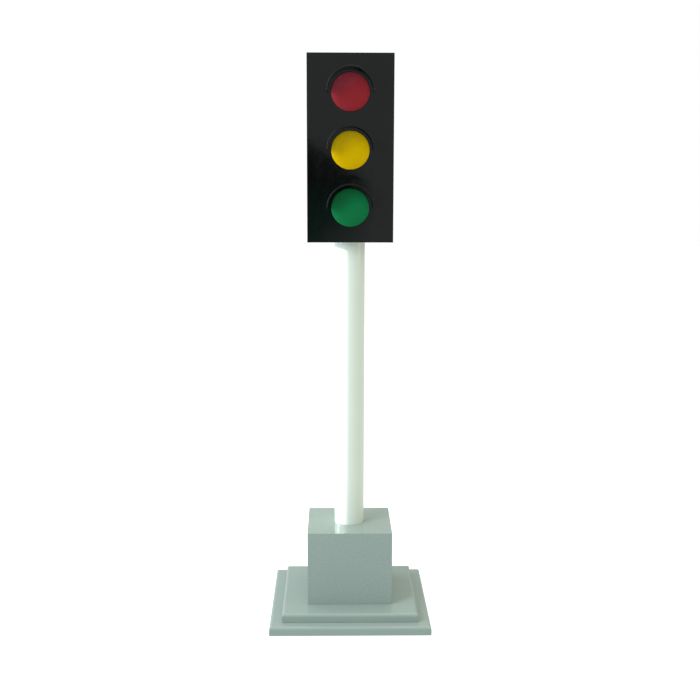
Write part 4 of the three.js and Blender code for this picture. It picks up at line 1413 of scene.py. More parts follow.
@dataclass
class HeadBox(Assembly):
    """The black box of the head, with its front sheet, back seal and fixings to the pole."""

    sheet_edge: float = 0.5 * MM

    def build(self) -> None:
        """Makes the shell, the sheet, the seal and the fixings."""
        self._shell()
        self._front_sheet()
        self.refine("door_seal", RUBBER, 0.5 * MM)
        self.refine("head_clamp_plate", ZINC, 0.4 * MM)
        self._bolts()
        self._grommet()

    def _shell(self) -> None:
        """Makes the four walls, with the cable hole in the floor."""
        self.refine("head_shell", BLACK_GLOSS, self.sheet_edge)

    def _front_sheet(self) -> None:
        """Makes the front sheet, with a round hole for each lens."""
        place = Place.of("front_sheet")
        sheet = piece_of("front_sheet_made", box_shape(place.low, place.high))
        holes = []
        for aspect in AspectColour:
            lens = Place.of("lens_" + aspect.value)
            centre = (lens.middle.x, 0.0, lens.middle.z)
            start, end = place.low.y - OVERCUT, place.high.y + OVERCUT
            holes.append(rod("hole", Aspect.opening, start, end, centre, Axis.BACK, 128))
        self.add(soften(carve(sheet, holes), self.sheet_edge), BLACK_GLOSS, "front_sheet")

    def _bolts(self) -> None:
        """Makes the four bolts through the clamp plate."""
        names = [f"head_bolt_{number}" for number in range(1, 5)]
        seat = Place.of("head_clamp_plate").high.z
        places = [(Place.of(name).middle.x, Place.of(name).middle.y, seat) for name in names]
        host = points_mesh("head_bolts", places, (0, 0, 1))
        self.add(self.recipes.bolts.run("head_bolts", host, ZINC), ZINC, *names)

    def _grommet(self) -> None:
        """Makes the rubber grommet round the cable."""
        place = Place.of("cable_grommet")
        lip, bore = place.size.x / 2, 4.3 * MM
        body = lip - 1.5 * MM
        low, seat, high = place.low.z, Place.of("head_clamp_plate").high.z, place.high.z
        outline = [
            (bore, low), (body, low), (body, seat), (lip, seat), (lip, high), (bore, high), (bore, low),
        ]
        grommet = turned("cable_grommet_made", rounded(outline, 0.8 * MM), (0, 0, 0), Axis.UP, 64)
        self.add(grommet, RUBBER, "cable_grommet")


class AspectColour(enum.Enum):
    """The three lamps, from the top down."""

    RED = "red"
    AMBER = "amber"
    GREEN = "green"

    @property
    def tints(self) -> tuple[Colour, Colour, Colour]:
        """The lens colour, then the painted shade and the painted light laid over it."""
        return {
            AspectColour.RED: ((0.310, 0.0245, 0.0325), (0.220, 0.016, 0.022), (0.430, 0.056, 0.085)),
            AspectColour.AMBER: ((0.750, 0.490, 0.0), (0.520, 0.335, 0.0), (1.000, 0.660, 0.008)),
            AspectColour.GREEN: ((0.0080, 0.205, 0.066), (0.004, 0.105, 0.034), (0.010, 0.215, 0.066)),
        }[self]


@dataclass
class Aspect(Assembly):
    """One lamp: hood, lens, seal, reflector, bulb and holder."""

    colour: AspectColour = AspectColour.RED
    opening = 47.5 * MM
    lens_radius: float = 46.8 * MM
    lens_wall: float = 3 * MM
    lens_rise: float = 2.2 * MM
    reflector_wall: float = 1.2 * MM

    def build(self) -> None:
        """Makes the lamp's pieces."""
        self.centre = Place.of("lens_" + self.colour.value).middle
        self._hood()
        self._lens()
        self._seal()
        self._reflector()
        self._bulb()
        self._holder()

    def _node(self, kind: str) -> str:
        """Gives the name of this lamp's node of a kind."""
        return f"{kind}_{self.colour.value}"

    def _axis_point(self) -> tuple[float, float, float]:
        """Gives the point of the lamp's axis at y = 0."""
        return (self.centre.x, 0.0, self.centre.z)

    def _hood(self) -> None:
        """Makes the half-round hood."""
        node = self._node("hood")
        place = Place.of(node)
        where = (place.middle.x, place.high.y, place.low.z)
        hood = self.recipes.hood.run(
            node + "_made", self.recipes.nothing.copy(), HOOD_BLACK,
            Radius=place.size.x / 2, Reach=place.size.y, Edge=0.6 * MM, Place=where,
        )
        self.add(hood, HOOD_BLACK, node)

    def _lens(self) -> None:
        """Makes the domed lens with its flange behind the sheet."""
        node = self._node("lens")
        place = Place.of(node)
        crown, back = place.low.y, place.high.y
        flange, seat = place.size.x / 2, back - 2.5 * MM
        shoulder = crown + self.lens_rise
        steps = 14
        front = [
            (self.lens_radius * step / steps, crown + self.lens_rise * (step / steps) ** 2.4)
            for step in range(steps)
        ]
        inner_radius = self.lens_radius - self.lens_wall
        inner = [
            (inner_radius * step / steps, crown + self.lens_wall + self.lens_rise * 0.8 * (step / steps) ** 2)
            for step in range(steps, -1, -1)
        ]
        rim = [
            (self.lens_radius, shoulder + 0.4 * MM), (self.lens_radius, seat), (flange, seat), (flange, back),
            (inner_radius, back),
        ]
        joined_rim = rounded([front[-1], *rim, inner[0]], 1.2 * MM, 5)
        outline = [*front[:-1], *joined_rim[:-1], *inner]
        # The lens takes its own tint and, over it, painted shade and painted light.
        plastic = LensPlastic(
            name=node, slot=f"{self.colour.value}_lens", colour=self.colour.tints[0], roughness=0.28,
            roughness_drift=0.04, specular=0.04, mottle=0.01, mottle_size=0.03, grain_size=0.008,
            grain_depth=0.00001, centre=tuple(self.centre), radius=self.lens_radius,
            painted_shade_colour=self.colour.tints[1], painted_light_colour=self.colour.tints[2],
        )
        self.add(turned(node + "_made", outline, self._axis_point(), Axis.BACK, 128), plastic, node)

    def _seal(self) -> None:
        """Makes the soft ring between the lens and the sheet."""
        node = self._node("lens_seal")
        place = Place.of(node)
        low, high, outer = place.low.y, place.high.y, place.size.x / 2
        outline = ring_outline(self.opening, outer, low, high)
        ring = turned(node + "_made", rounded(outline, 0.6 * MM), self._axis_point(), Axis.BACK, 96)
        self.add(ring, RUBBER, node)

    def _reflector(self) -> None:
        """Makes the spun bowl: rim, parabola and neck."""
        node = self._node("reflector")
        place, wall = Place.of(node), self.reflector_wall
        rim_y, end_y, rim = place.low.y, place.high.y, place.size.x / 2
        neck, mouth, floor_y = 18 * MM, 49 * MM, place.high.y - 6 * MM
        steps = 18
        bowl = []
        for step in range(steps + 1):
            radius = neck + (mouth - neck) * step / steps
            share = (radius**2 - neck**2) / (mouth**2 - neck**2)
            bowl.append((radius, floor_y + (rim_y - floor_y) * share))
        outside = [(radius + wall, along + wall) for radius, along in reversed(bowl)]
        outline = [
            (neck, end_y), *bowl, (rim, rim_y), (rim, rim_y + wall), (mouth + wall, rim_y + wall),
            *outside[1:], (neck + wall, end_y), (neck, end_y),
        ]
        spun = TurnedMetal(
            name=node, slot="spun_aluminium", colour=(0.80, 0.81, 0.82), roughness=0.20, roughness_drift=0.06,
            metallic=1.0, mottle=0.04, grain_size=0.0009, grain_depth=0.00004, centre=tuple(self.centre),
        )
        self.add(turned(node + "_made", outline, self._axis_point(), Axis.BACK, 96), spun, node)

    def _bulb(self) -> None:
        """Makes the glass globe and, as its own piece, the threaded cap."""
        node = self._node("lamp")
        place = Place.of(node)
        globe, front, tip = place.size.x / 2 + 0.1 * MM, place.low.y, place.high.y
        middle = front + globe
        collar_y, cap_end = tip - 23 * MM, tip - 4 * MM
        sweep = math.radians(150)
        steps = 20
        glass = [
            (globe * math.sin(sweep * step / steps), middle - globe * math.cos(sweep * step / steps))
            for step in range(steps + 1)
        ]
        outline = [*glass, (8 * MM, collar_y), (7.2 * MM, collar_y + 2 * MM), (0.0, collar_y + 2 * MM)]
        self.add(turned(node + "_made", outline, self._axis_point(), Axis.BACK, 64), FROSTED_GLASS, node)
        cap = [(0.0, collar_y + 0.5 * MM), (7.9 * MM, collar_y + 0.5 * MM)]
        turns, pitch = 6, (cap_end - collar_y - 2 * MM) / 6
        for turn in range(turns):
            start = collar_y + 2 * MM + turn * pitch
            cap += [(6.5 * MM, start), (7.0 * MM, start + pitch * 0.5)]
        cap += [(6.5 * MM, cap_end), (3 * MM, tip - 1 * MM), (2.4 * MM, tip), (0.0, tip)]
        self.add(turned(node + "_cap", cap, self._axis_point(), Axis.BACK, 48), ZINC)

    def _holder(self) -> None:
        """Makes the porcelain holder and its two terminal screws."""
        node = self._node("lamp_holder")
        place = Place.of(node)
        front, back, flange = place.low.y, place.high.y, place.size.x / 2
        socket, throat, body = 7.5 * MM, 15 * MM, 16 * MM
        seat, floor_y = front + 4 * MM, front + 19 * MM
        outline = [
            (socket, front), (throat, front), (throat, seat), (flange, seat), (flange, seat + 3 * MM),
            (body, seat + 3 * MM), (body, back), (0.0, back),
        ]
        shape = [(0.0, floor_y), (socket, floor_y), *rounded(outline, 1.2 * MM)]
        self.add(turned(node + "_made", shape, self._axis_point(), Axis.BACK, 64), PORCELAIN, node)
        spread = 8 * MM
        places = [(self.centre.x + side * spread, back, self.centre.z) for side in (-1, 1)]
        self.add(self.recipes.screw_set(node + "_screws", places, (0, 1, 0), 2.6 * MM, ZINC), ZINC)


@dataclass
class Hinge(Assembly):
    """The hinge's leaf on the head, with its pin and screws."""

    knuckles: int = 5
    gap: float = 1 * MM
    bore: float = 1.7 * MM
    radius: float = 3.2 * MM
    leaf: float = 1.5 * MM
    screw: float = 3.2 * MM
    relief: float = 0.5 * MM
    tongue_root: float = 2 * MM
    strip_edge: float = 0.4 * MM
    tongue_edge: float = 0.2 * MM

    def build(self) -> None:
        """Makes the fixed leaf and the pin."""
        self._pin()
        place = Place.of("hinge_frame_leaf")
        pin = self.pin_point()
        outer = place.low.x + self.leaf
        relief = pin.y - self.radius - self.relief
        strip = slab("strip", place.low, (outer, relief, place.high.z), self.strip_edge)
        root = pin.y - self.radius - self.tongue_root
        tongues = [
            slab("tongue", (place.low.x, root, low), (outer, pin.y, high), self.tongue_edge)
            for low, high in self.spans(0)
        ]
        whole = joined("hinge_frame_leaf_made", [strip, *tongues, *self.barrels(0)])
        self.add(whole, ZINC, "hinge_frame_leaf")
        middle_y = (place.low.y + pin.y - self.radius) / 2
        places = [(place.low.x + self.leaf, middle_y, height) for height in self.screw_heights()]
        self.add(self.recipes.screw_set("hinge_frame_screws", places, (1, 0, 0), self.screw, ZINC), ZINC)

    def _pin(self) -> None:
        """Makes the pin with its domed head."""
        place = Place.of("hinge_pin")
        centre = (place.middle.x, place.middle.y, 0.0)
        head = place.high.z - 1.5 * MM
        outline = [
            (0.0, place.low.z), (1.5 * MM, place.low.z), (1.5 * MM, head), (2.6 * MM, head),
            (2.6 * MM, place.high.z), (0.0, place.high.z),
        ]
        self.add(turned("hinge_pin_made", rounded(outline, 0.6 * MM), centre, Axis.UP, 32), ZINC, "hinge_pin")

    def pin_point(self) -> Vector:
        """Gives the hinge's axis where it crosses z = 0."""
        joint = joint_named("door_swing")
        return Vector((joint["pos_m"][0], joint["pos_m"][1], 0.0))

    def spans(self, first: int) -> list[tuple[float, float]]:
        """Gives where each second knuckle starts and ends.

        Args:
            first: 0 for the fixed leaf's knuckles, 1 for the door's.

        Returns:
            The heights.
        """
        place = Place.of("hinge_frame_leaf")
        length = (place.size.z - self.gap * (self.knuckles - 1)) / self.knuckles
        every = [place.low.z + index * (length + self.gap) for index in range(self.knuckles)]
        return [(low, low + length) for low in every[first::2]]

    def barrels(self, first: int) -> list[Piece]:
        """Makes each second rolled knuckle.

        Args:
            first: 0 for the fixed leaf's knuckles, 1 for the door's.

        Returns:
            The knuckles.
        """
        pin = self.pin_point()
        made = []
        for low, high in self.spans(first):
            outline = ring_outline(self.bore, self.radius, low, high)
            made.append(turned("knuckle", rounded(outline, 0.3 * MM, 3), pin, Axis.UP, 40))
        return made

    def screw_heights(self) -> list[float]:
        """Gives the heights of the leaf screws."""
        place = Place.of("hinge_frame_leaf")
        count = 6
        return [place.low.z + place.size.z * (index + 0.5) / count for index in range(count)]


@dataclass
class Door(Assembly):
    """The rear door, with its leaf of the hinge and the barrel of the latch."""

    body: str = "door"
    edge: float = 0.5 * MM
    hole: float = 9.3 * MM

    def build(self) -> None:
        """Makes the door, the leaf and the barrel."""
        self._panel()
        self._leaf()
        self._barrel()

    def _panel(self) -> None:
        """Makes the door with the hole for the latch."""
        place, latch = Place.of("rear_door"), Place.of("latch_barrel").middle
        panel = piece_of("rear_door_made", box_shape(place.low, place.high))
        start, end = place.low.y - OVERCUT, place.high.y + OVERCUT
        hole = rod("hole", self.hole, start, end, (latch.x, 0.0, latch.z), Axis.BACK, 64)
        self.add(soften(carve(panel, [hole]), self.edge), BLACK_GLOSS, "rear_door")

    def _leaf(self) -> None:
        """Makes the moving leaf of the hinge and its screws."""
        hinge = Hinge(self.recipes)
        place, pin = Place.of("hinge_door_leaf"), hinge.pin_point()
        face = place.high.y
        relief = pin.x - hinge.radius - hinge.relief
        inner = face - hinge.leaf
        corners = (place.low.x, inner, place.low.z), (relief, face, place.high.z)
        strip = slab("strip", *corners, hinge.strip_edge)
        root = relief - hinge.tongue_root
        tongues = [
            slab("tongue", (root, inner, low), (pin.x, face, high), hinge.tongue_edge)
            for low, high in hinge.spans(1)
        ]
        whole = joined("hinge_door_leaf_made", [strip, *tongues, *hinge.barrels(1)])
        self.add(whole, ZINC, "hinge_door_leaf")
        middle = (place.low.x + relief) / 2
        places = [(middle, face, height) for height in hinge.screw_heights()]
        self.add(self.recipes.screw_set("hinge_door_screws", places, (0, 1, 0), hinge.screw, ZINC), ZINC)

    def _barrel(self) -> None:
        """Makes the latch barrel with its bezel and its nut inside the door."""
        place, door = Place.of("latch_barrel"), Place.of("rear_door")
        flange, bore, body = place.size.x / 2, 4.3 * MM, 9 * MM
        front, back = place.low.y, place.high.y
        outline = [
            (bore, front), (body, front), (body, door.low.y - 3.5 * MM), (flange, door.low.y - 3.5 * MM),
            (flange, door.low.y - 0.3 * MM), (body, door.low.y - 0.3 * MM), (body, door.high.y),
            (flange, door.high.y), (flange, back), (bore, back), (bore, front),
        ]
        centre = (place.middle.x, 0.0, place.middle.z)
        barrel = turned("latch_barrel_made", rounded(outline, 0.7 * MM), centre, Axis.BACK, 96)
        self.add(barrel, CHROME, "latch_barrel")


@dataclass
class Latch(Assembly):
    """The latch's knob and spindle, and the cam that turns with them."""

    body: str = "latch"

    def build(self) -> None:
        """Makes the knob and the cam."""
        place, barrel = Place.of("latch_knob"), Place.of("latch_barrel")
        centre = Vector((place.middle.x, 0.0, place.middle.z))
        bottom = barrel.high.y + 0.3 * MM
        disc = [
            (0.0, place.low.y), (5.5 * MM, place.low.y), (5.5 * MM, place.low.y + 1.5 * MM),
            (3 * MM, place.low.y + 1.5 * MM), (3 * MM, place.low.y + 4 * MM), (4 * MM, place.low.y + 4 * MM),
            (4 * MM, bottom), (11 * MM, bottom), (11 * MM, bottom + 3 * MM), (0.0, bottom + 3.6 * MM),
        ]
        base = turned("base", rounded(disc, 0.5 * MM), centre, Axis.BACK, 72)
        wing = slab(
            "wing",
            (centre.x - 3 * MM, bottom + 2 * MM, centre.z - 10.4 * MM),
            (centre.x + 3 * MM, place.high.y, centre.z + 10.4 * MM),
            2.2 * MM,
        )
        self.add(joined("latch_knob_made", [base, wing]), CHROME, "latch_knob")
        self.refine("latch_cam", ZINC, 0.25 * MM)


@dataclass
class Keeper(Assembly):
    """The bent keeper that the cam turns behind, with its two screws."""

    def build(self) -> None:
        """Makes the keeper and its screws."""
        self.refine("latch_keeper", ZINC, 0.35 * MM)
        place = Place.of("latch_keeper")
        face = place.low.x + 2 * MM
        places = [(face, place.low.y + 11 * MM, place.middle.z + side * 11 * MM) for side in (-1, 1)]
        self.add(self.recipes.screw_set("latch_keeper_screws", places, (1, 0, 0), 2.8 * MM, ZINC), ZINC)


@dataclass
class ServicePanel(Assembly):
    """The panel on the back of the block, with the inlet and the fixed halves of the switches."""

    edge: float = 0.35 * MM
    screw_inset: float = 8 * MM
    well_wide: float = 24 * MM
    well_high: float = 16.2 * MM
    well_depth: float = 15 * MM

    def build(self) -> None:
        """Makes the panel and what is fixed to it."""
        self._panel()
        self._inlet()
        self._switch()
        self._selector()

    def _panel(self) -> None:
        """Makes the panel sheet and its four screws."""
        place = Place.of("service_panel")
        self.refine("service_panel", PANEL_ENAMEL, self.edge)
        middle, across = place.middle, place.size.x / 2 - self.screw_inset
        upward = place.size.z / 2 - self.screw_inset
        places = [
            (middle.x + side * across, place.high.y, middle.z + way * upward)
            for side in (-1, 1)
            for way in (-1, 1)
        ]
        self.add(self.recipes.screw_set("service_panel_screws", places, (0, 1, 0), 3.4 * MM, ZINC), ZINC)

    def _inlet(self) -> None:
        """Makes the inlet's shell, then its three pins as a piece of their own."""
        place, panel = Place.of("mains_inlet"), Place.of("service_panel")
        middle, face = place.middle, place.high.y
        shell = piece_of(
            "mains_inlet_made",
            box_shape((place.low.x, panel.high.y, place.low.z), (place.high.x, face, place.high.z)),
        )
        upright = soften(shell, 2.4 * MM, 4)
        settle(upright)
        depth = self.well_depth
        half_wide, half_high = self.well_wide / 2, self.well_high / 2
        throat = piece_of(
            "throat",
            box_shape(
                (middle.x - half_wide - 1.2 * MM, face - depth - 1.5 * MM, middle.z - half_high - 1.4 * MM),
                (middle.x + half_wide + 1.2 * MM, panel.high.y + 1 * MM, middle.z + half_high + 1.4 * MM),
            ),
        )
        body = joined("mains_inlet_body", [upright, throat])
        well = piece_of(
            "well",
            box_shape(
                (middle.x - half_wide, face - depth, middle.z - half_high),
                (middle.x + half_wide, face + OVERCUT, middle.z + half_high),
            ),
        )
        carved = carve(body, [well])
        carved.name = "mains_inlet_made"
        self.add(soften(carved, 0.3 * MM, 2), SWITCH_BLACK, "mains_inlet")
        floor_y = face - depth
        pins = []
        for across, upward in ((-7, -2), (0, 2), (7, -2)):
            x, z = middle.x + across * MM, middle.z + upward * MM
            low = (x - 1 * MM, floor_y - 1 * MM, z - 2 * MM)
            high = (x + 1 * MM, floor_y + 13 * MM, z + 2 * MM)
            pins.append(slab("pin", low, high, 0.6 * MM))
        self.add(joined("mains_inlet_pins", pins), ZINC)

    def _switch(self) -> None:
        """Makes the power switch's bezel and body."""
        self.refine("power_switch_body", SWITCH_BLACK, 0.5 * MM)

    def _selector(self) -> None:
        """Makes the mode switch's bush, nut and body, and the dial marks round its knob."""
        self.refine("mode_switch_body", ZINC, 0.3 * MM)
        place, panel = Place.of("mode_knob"), Place.of("service_panel")
        low = (-0.7 * MM, panel.high.y - 0.1 * MM, 17 * MM)
        high = (0.7 * MM, panel.high.y + 0.15 * MM, 21 * MM)
        marks = []
        for degrees in (-60, 0, 60):
            mark = box_shape(low, high)
            turn = Matrix.Rotation(math.radians(degrees), 3, "Y")
            bmesh.ops.rotate(mark, verts=mark.verts, cent=(0, 0, 0), matrix=turn)
            bmesh.ops.translate(mark, verts=mark.verts, vec=(place.middle.x, 0.0, place.middle.z))
            marks.append(piece_of("mark", mark))
        self.add(joined("mode_dial_marks", marks), PRINT_WHITE)


@dataclass
class PowerRocker(Assembly):
    """The rocker of the power switch, with a line and a ring moulded into its ends."""

    body: str = "power_rocker"
    mark_low: float = 5.6 * MM
    mark_high: float = 6.1 * MM
    mark_edge: float = 0.15 * MM
    mark_middle: float = 7.2 * MM
    ring_inner: float = 1.4 * MM
    ring_outer: float = 2.1 * MM
    slope: float = math.atan2(7 - 4.2, 11.5)

    def build(self) -> None:
        """Makes the rocker and its two marks."""
        self.refine("power_switch_rocker", SWITCH_BLACK, 0.6 * MM)
        joint = joint_named("power_rock")
        pivot = Vector(joint["pos_m"])
        tilt = math.radians(joint["range_deg"][1] / 2)
        low, high = self.mark_low, self.mark_high
        bar = slab("bar", (-0.5 * MM, low, 5.2 * MM), (0.5 * MM, high, 9.2 * MM), self.mark_edge)
        ring = turned(
            "ring",
            rounded(ring_outline(self.ring_inner, self.ring_outer, low, high), self.mark_edge),
            (0.0, 0.0, -self.mark_middle),
            Axis.BACK,
            40,
        )
        for mark, way in ((bar, 1), (ring, -1)):
            settle(mark)
            lean = Matrix.Rotation(way * -self.slope, 4, "X")
            centre = Matrix.Translation((0.0, 5.9 * MM, way * self.mark_middle))
            mark.data.transform(centre @ lean @ centre.inverted())
            mark.data.transform(Matrix.Translation(pivot) @ Matrix.Rotation(tilt, 4, "X"))
        self.add(joined("power_rocker_marks", [bar, ring]), PRINT_WHITE)


@dataclass
class ModeKnob(Assembly):
    """The mode knob: skirt, body with grip ridges, and a white pointer line."""

    body: str = "mode_selector"

    def build(self) -> None:
        """Makes the knob, its ridges and its line."""
        place = Place.of("mode_knob")
        centre = Vector((place.middle.x, 0.0, place.middle.z))
        centre.z = joint_named("mode_turn")["pos_m"][2]
        tip = place.high.y
        bottom = tip - 14 * MM
        outline = [
            (0.0, place.low.y), (2 * MM, place.low.y), (2 * MM, bottom), (13.2 * MM, bottom),
            (13.2 * MM, bottom + 2.2 * MM), (11 * MM, bottom + 3.2 * MM), (10 * MM, bottom + 13.5 * MM),
            (0.0, bottom + 13.5 * MM),
        ]
        knob = turned("mode_knob_made", rounded(outline, 0.9 * MM), centre, Axis.BACK, 96)
        self.add(knob, SWITCH_BLACK, "mode_knob")
        ridges = self.recipes.knurl.run(
            "mode_knob_ridges", self.recipes.nothing.copy(), SWITCH_BLACK,
            Radius=10.6 * MM, Length=8.5 * MM, Place=(centre.x, bottom + 8 * MM, centre.z),
        )
        self.add(ridges, SWITCH_BLACK)
        line = slab(
            "mode_knob_line",
            (centre.x - 0.7 * MM, bottom + 13.2 * MM, centre.z + 2.5 * MM),
            (centre.x + 0.7 * MM, bottom + 13.7 * MM, centre.z + 9.6 * MM),
            0.15 * MM,
        )
        self.add(line, PRINT_WHITE)


@dataclass
class ControlGear(Assembly):
    """What is shut inside the block: the power supply and the sequence controller."""

    def build(self) -> None:
        """Makes both units."""
        self.refine("power_supply", ZINC, 0.5 * MM)
        self.refine("sequence_controller", CIRCUIT_GREEN, 0.25 * MM)


@dataclass
class Wiring(Assembly):
    """The signal cable, the harness to the three lamp holders, and the terminal block."""

    cable_radius: float = 4 * MM
    wire_radius: float = 1.1 * MM
    first_tie: float = 28 * MM
    tie_pitch: float = 68 * MM
    ties: int = 5

    def build(self) -> None:
        """Makes the block, the cable and the wires."""
        self._terminals()
        self._cable()
        self._harness()

    def _terminals(self) -> None:
        """Makes the terminal block and its screws."""
        self.refine("terminal_block", NYLON, 0.5 * MM)
        place = Place.of("terminal_block")
        ways = 4
        pitch = 11.5 * MM
        first = place.low.x + 5.5 * MM
        places = [
            (first + way * pitch, place.middle.y + side * 3.2 * MM, place.high.z)
            for way in range(ways)
            for side in (-1, 1)
        ]
        self.add(self.recipes.screw_set("terminal_screws", places, (0, 0, 1), 1.9 * MM, ZINC), ZINC)

    def _cable(self) -> None:
        """Makes the cable from the controller, up the pole and over to the terminals."""
        block = Place.of("terminal_block")
        route = [(0.077, 0.0, 0.083), (0.077, 0.0, 0.092), (0.068, 0.0, 0.106), (0.054, 0.0, 0.118),
                 (0.036, 0.0, 0.130), (0.016, 0.0, 0.139), (0.003, 0.0, 0.158), (0.0, 0.0, 0.185),
                 (0.0, 0.0, 0.560), (0.0, 0.0, 0.940), (0.0, 0.0, 0.984), (0.0, 0.0, 0.996),
                 (0.008, 0.004, 1.014), (0.028, 0.012, 1.020), (0.048, 0.020, 1.008),
                 (block.low.x + 7 * MM, block.middle.y, block.high.z + 3 * MM)]
        self.add(tube("signal_cable_made", route, self.cable_radius), GREY_SHEATH, "signal_cable")

    def _harness(self) -> None:
        """Makes the trunk, two wires to each lamp holder, and the ties that bundle them."""
        place, block = Place.of("lamp_harness"), Place.of("terminal_block")
        x, y = place.high.x - 3 * MM, block.middle.y
        route = [
            (x, y, block.high.z),
            (x + 0.4 * MM, y, block.high.z + 40 * MM),
            (x - 0.3 * MM, y + 0.5 * MM, 1.15),
            (x, y, place.high.z),
        ]
        self.add(tube("lamp_harness_made", route, 3 * MM), GREY_SHEATH, "lamp_harness")
        for colour in AspectColour:
            holder = Place.of("lamp_holder_" + colour.value)
            for side, finish in ((-1, WIRE_BLUE), (1, WIRE_RED)):
                end = (holder.middle.x + side * 8 * MM, holder.high.y - 0.5 * MM, holder.middle.z)
                lift = (3 + side * 2.5) * MM
                wire = [
                    (x - 1 * MM, y, end[2] - 30 * MM),
                    (x - 2 * MM, y + 3 * MM, end[2] - 18 * MM),
                    (x - 12 * MM, y + 10 * MM, end[2] - 4 * MM + lift),
                    (end[0] + 20 * MM, end[1] + 5 * MM, end[2] + lift),
                    (end[0] + 5 * MM, end[1] + 5 * MM, end[2] + lift / 2),
                    end,
                ]
                name = f"wire_{colour.value}_{'live' if side > 0 else 'neutral'}"
                self.add(tube(name, wire, self.wire_radius, 3), finish)
        first = block.high.z + self.first_tie
        places = [(x, y, first + step * self.tie_pitch) for step in range(self.ties)]
        host = points_mesh("harness_ties", places, (0, 0, 1))
        ties = self.recipes.ties.run("harness_ties", host, NYLON, Radius=3.4 * MM)
        self.add(ties, NYLON)


# ---------------------------------------------------------------- studio


@dataclass(frozen=True)
class SoftLight:
    """A soft rectangular light that points at a target, with its power in watts."""

    name: str
    place: tuple[float, float, float]
    target: tuple[float, float, float]
    size: tuple[float, float]
    power: float
    colour: Colour

    def hang(self) -> None:
        """Puts the light in the scene."""
        data = bpy.data.lights.new(self.name, "AREA")
        data.shape = "RECTANGLE"
        data.size, data.size_y = self.size
        data.energy = self.power
        data.color = self.colour
        lamp = bpy.data.objects.new(self.name, data)
        bpy.context.scene.collection.objects.link(lamp)
        aim = (Vector(self.target) - Vector(self.place)).to_track_quat("-Z", "Y")
        lamp.matrix_world = Matrix.Translation(self.place) @ aim.to_matrix().to_4x4()


SOFT_LIGHTS = (
    SoftLight("key", (-2.3, -1.9, 2.3), (0.0, 0.0, 0.75), (1.5, 2.2), 65.0, (0.95, 0.97, 1.0)),
    SoftLight("fill", (2.9, -0.8, 1.5), (0.0, 0.0, 0.6), (1.4, 1.8), 14.0, (1.0, 0.91, 0.78)),
    SoftLight("top", (0.2, 0.4, 3.4), (0.0, 0.0, 0.0), (2.2, 2.2), 20.7, (1.0, 1.0, 1.0)),
)


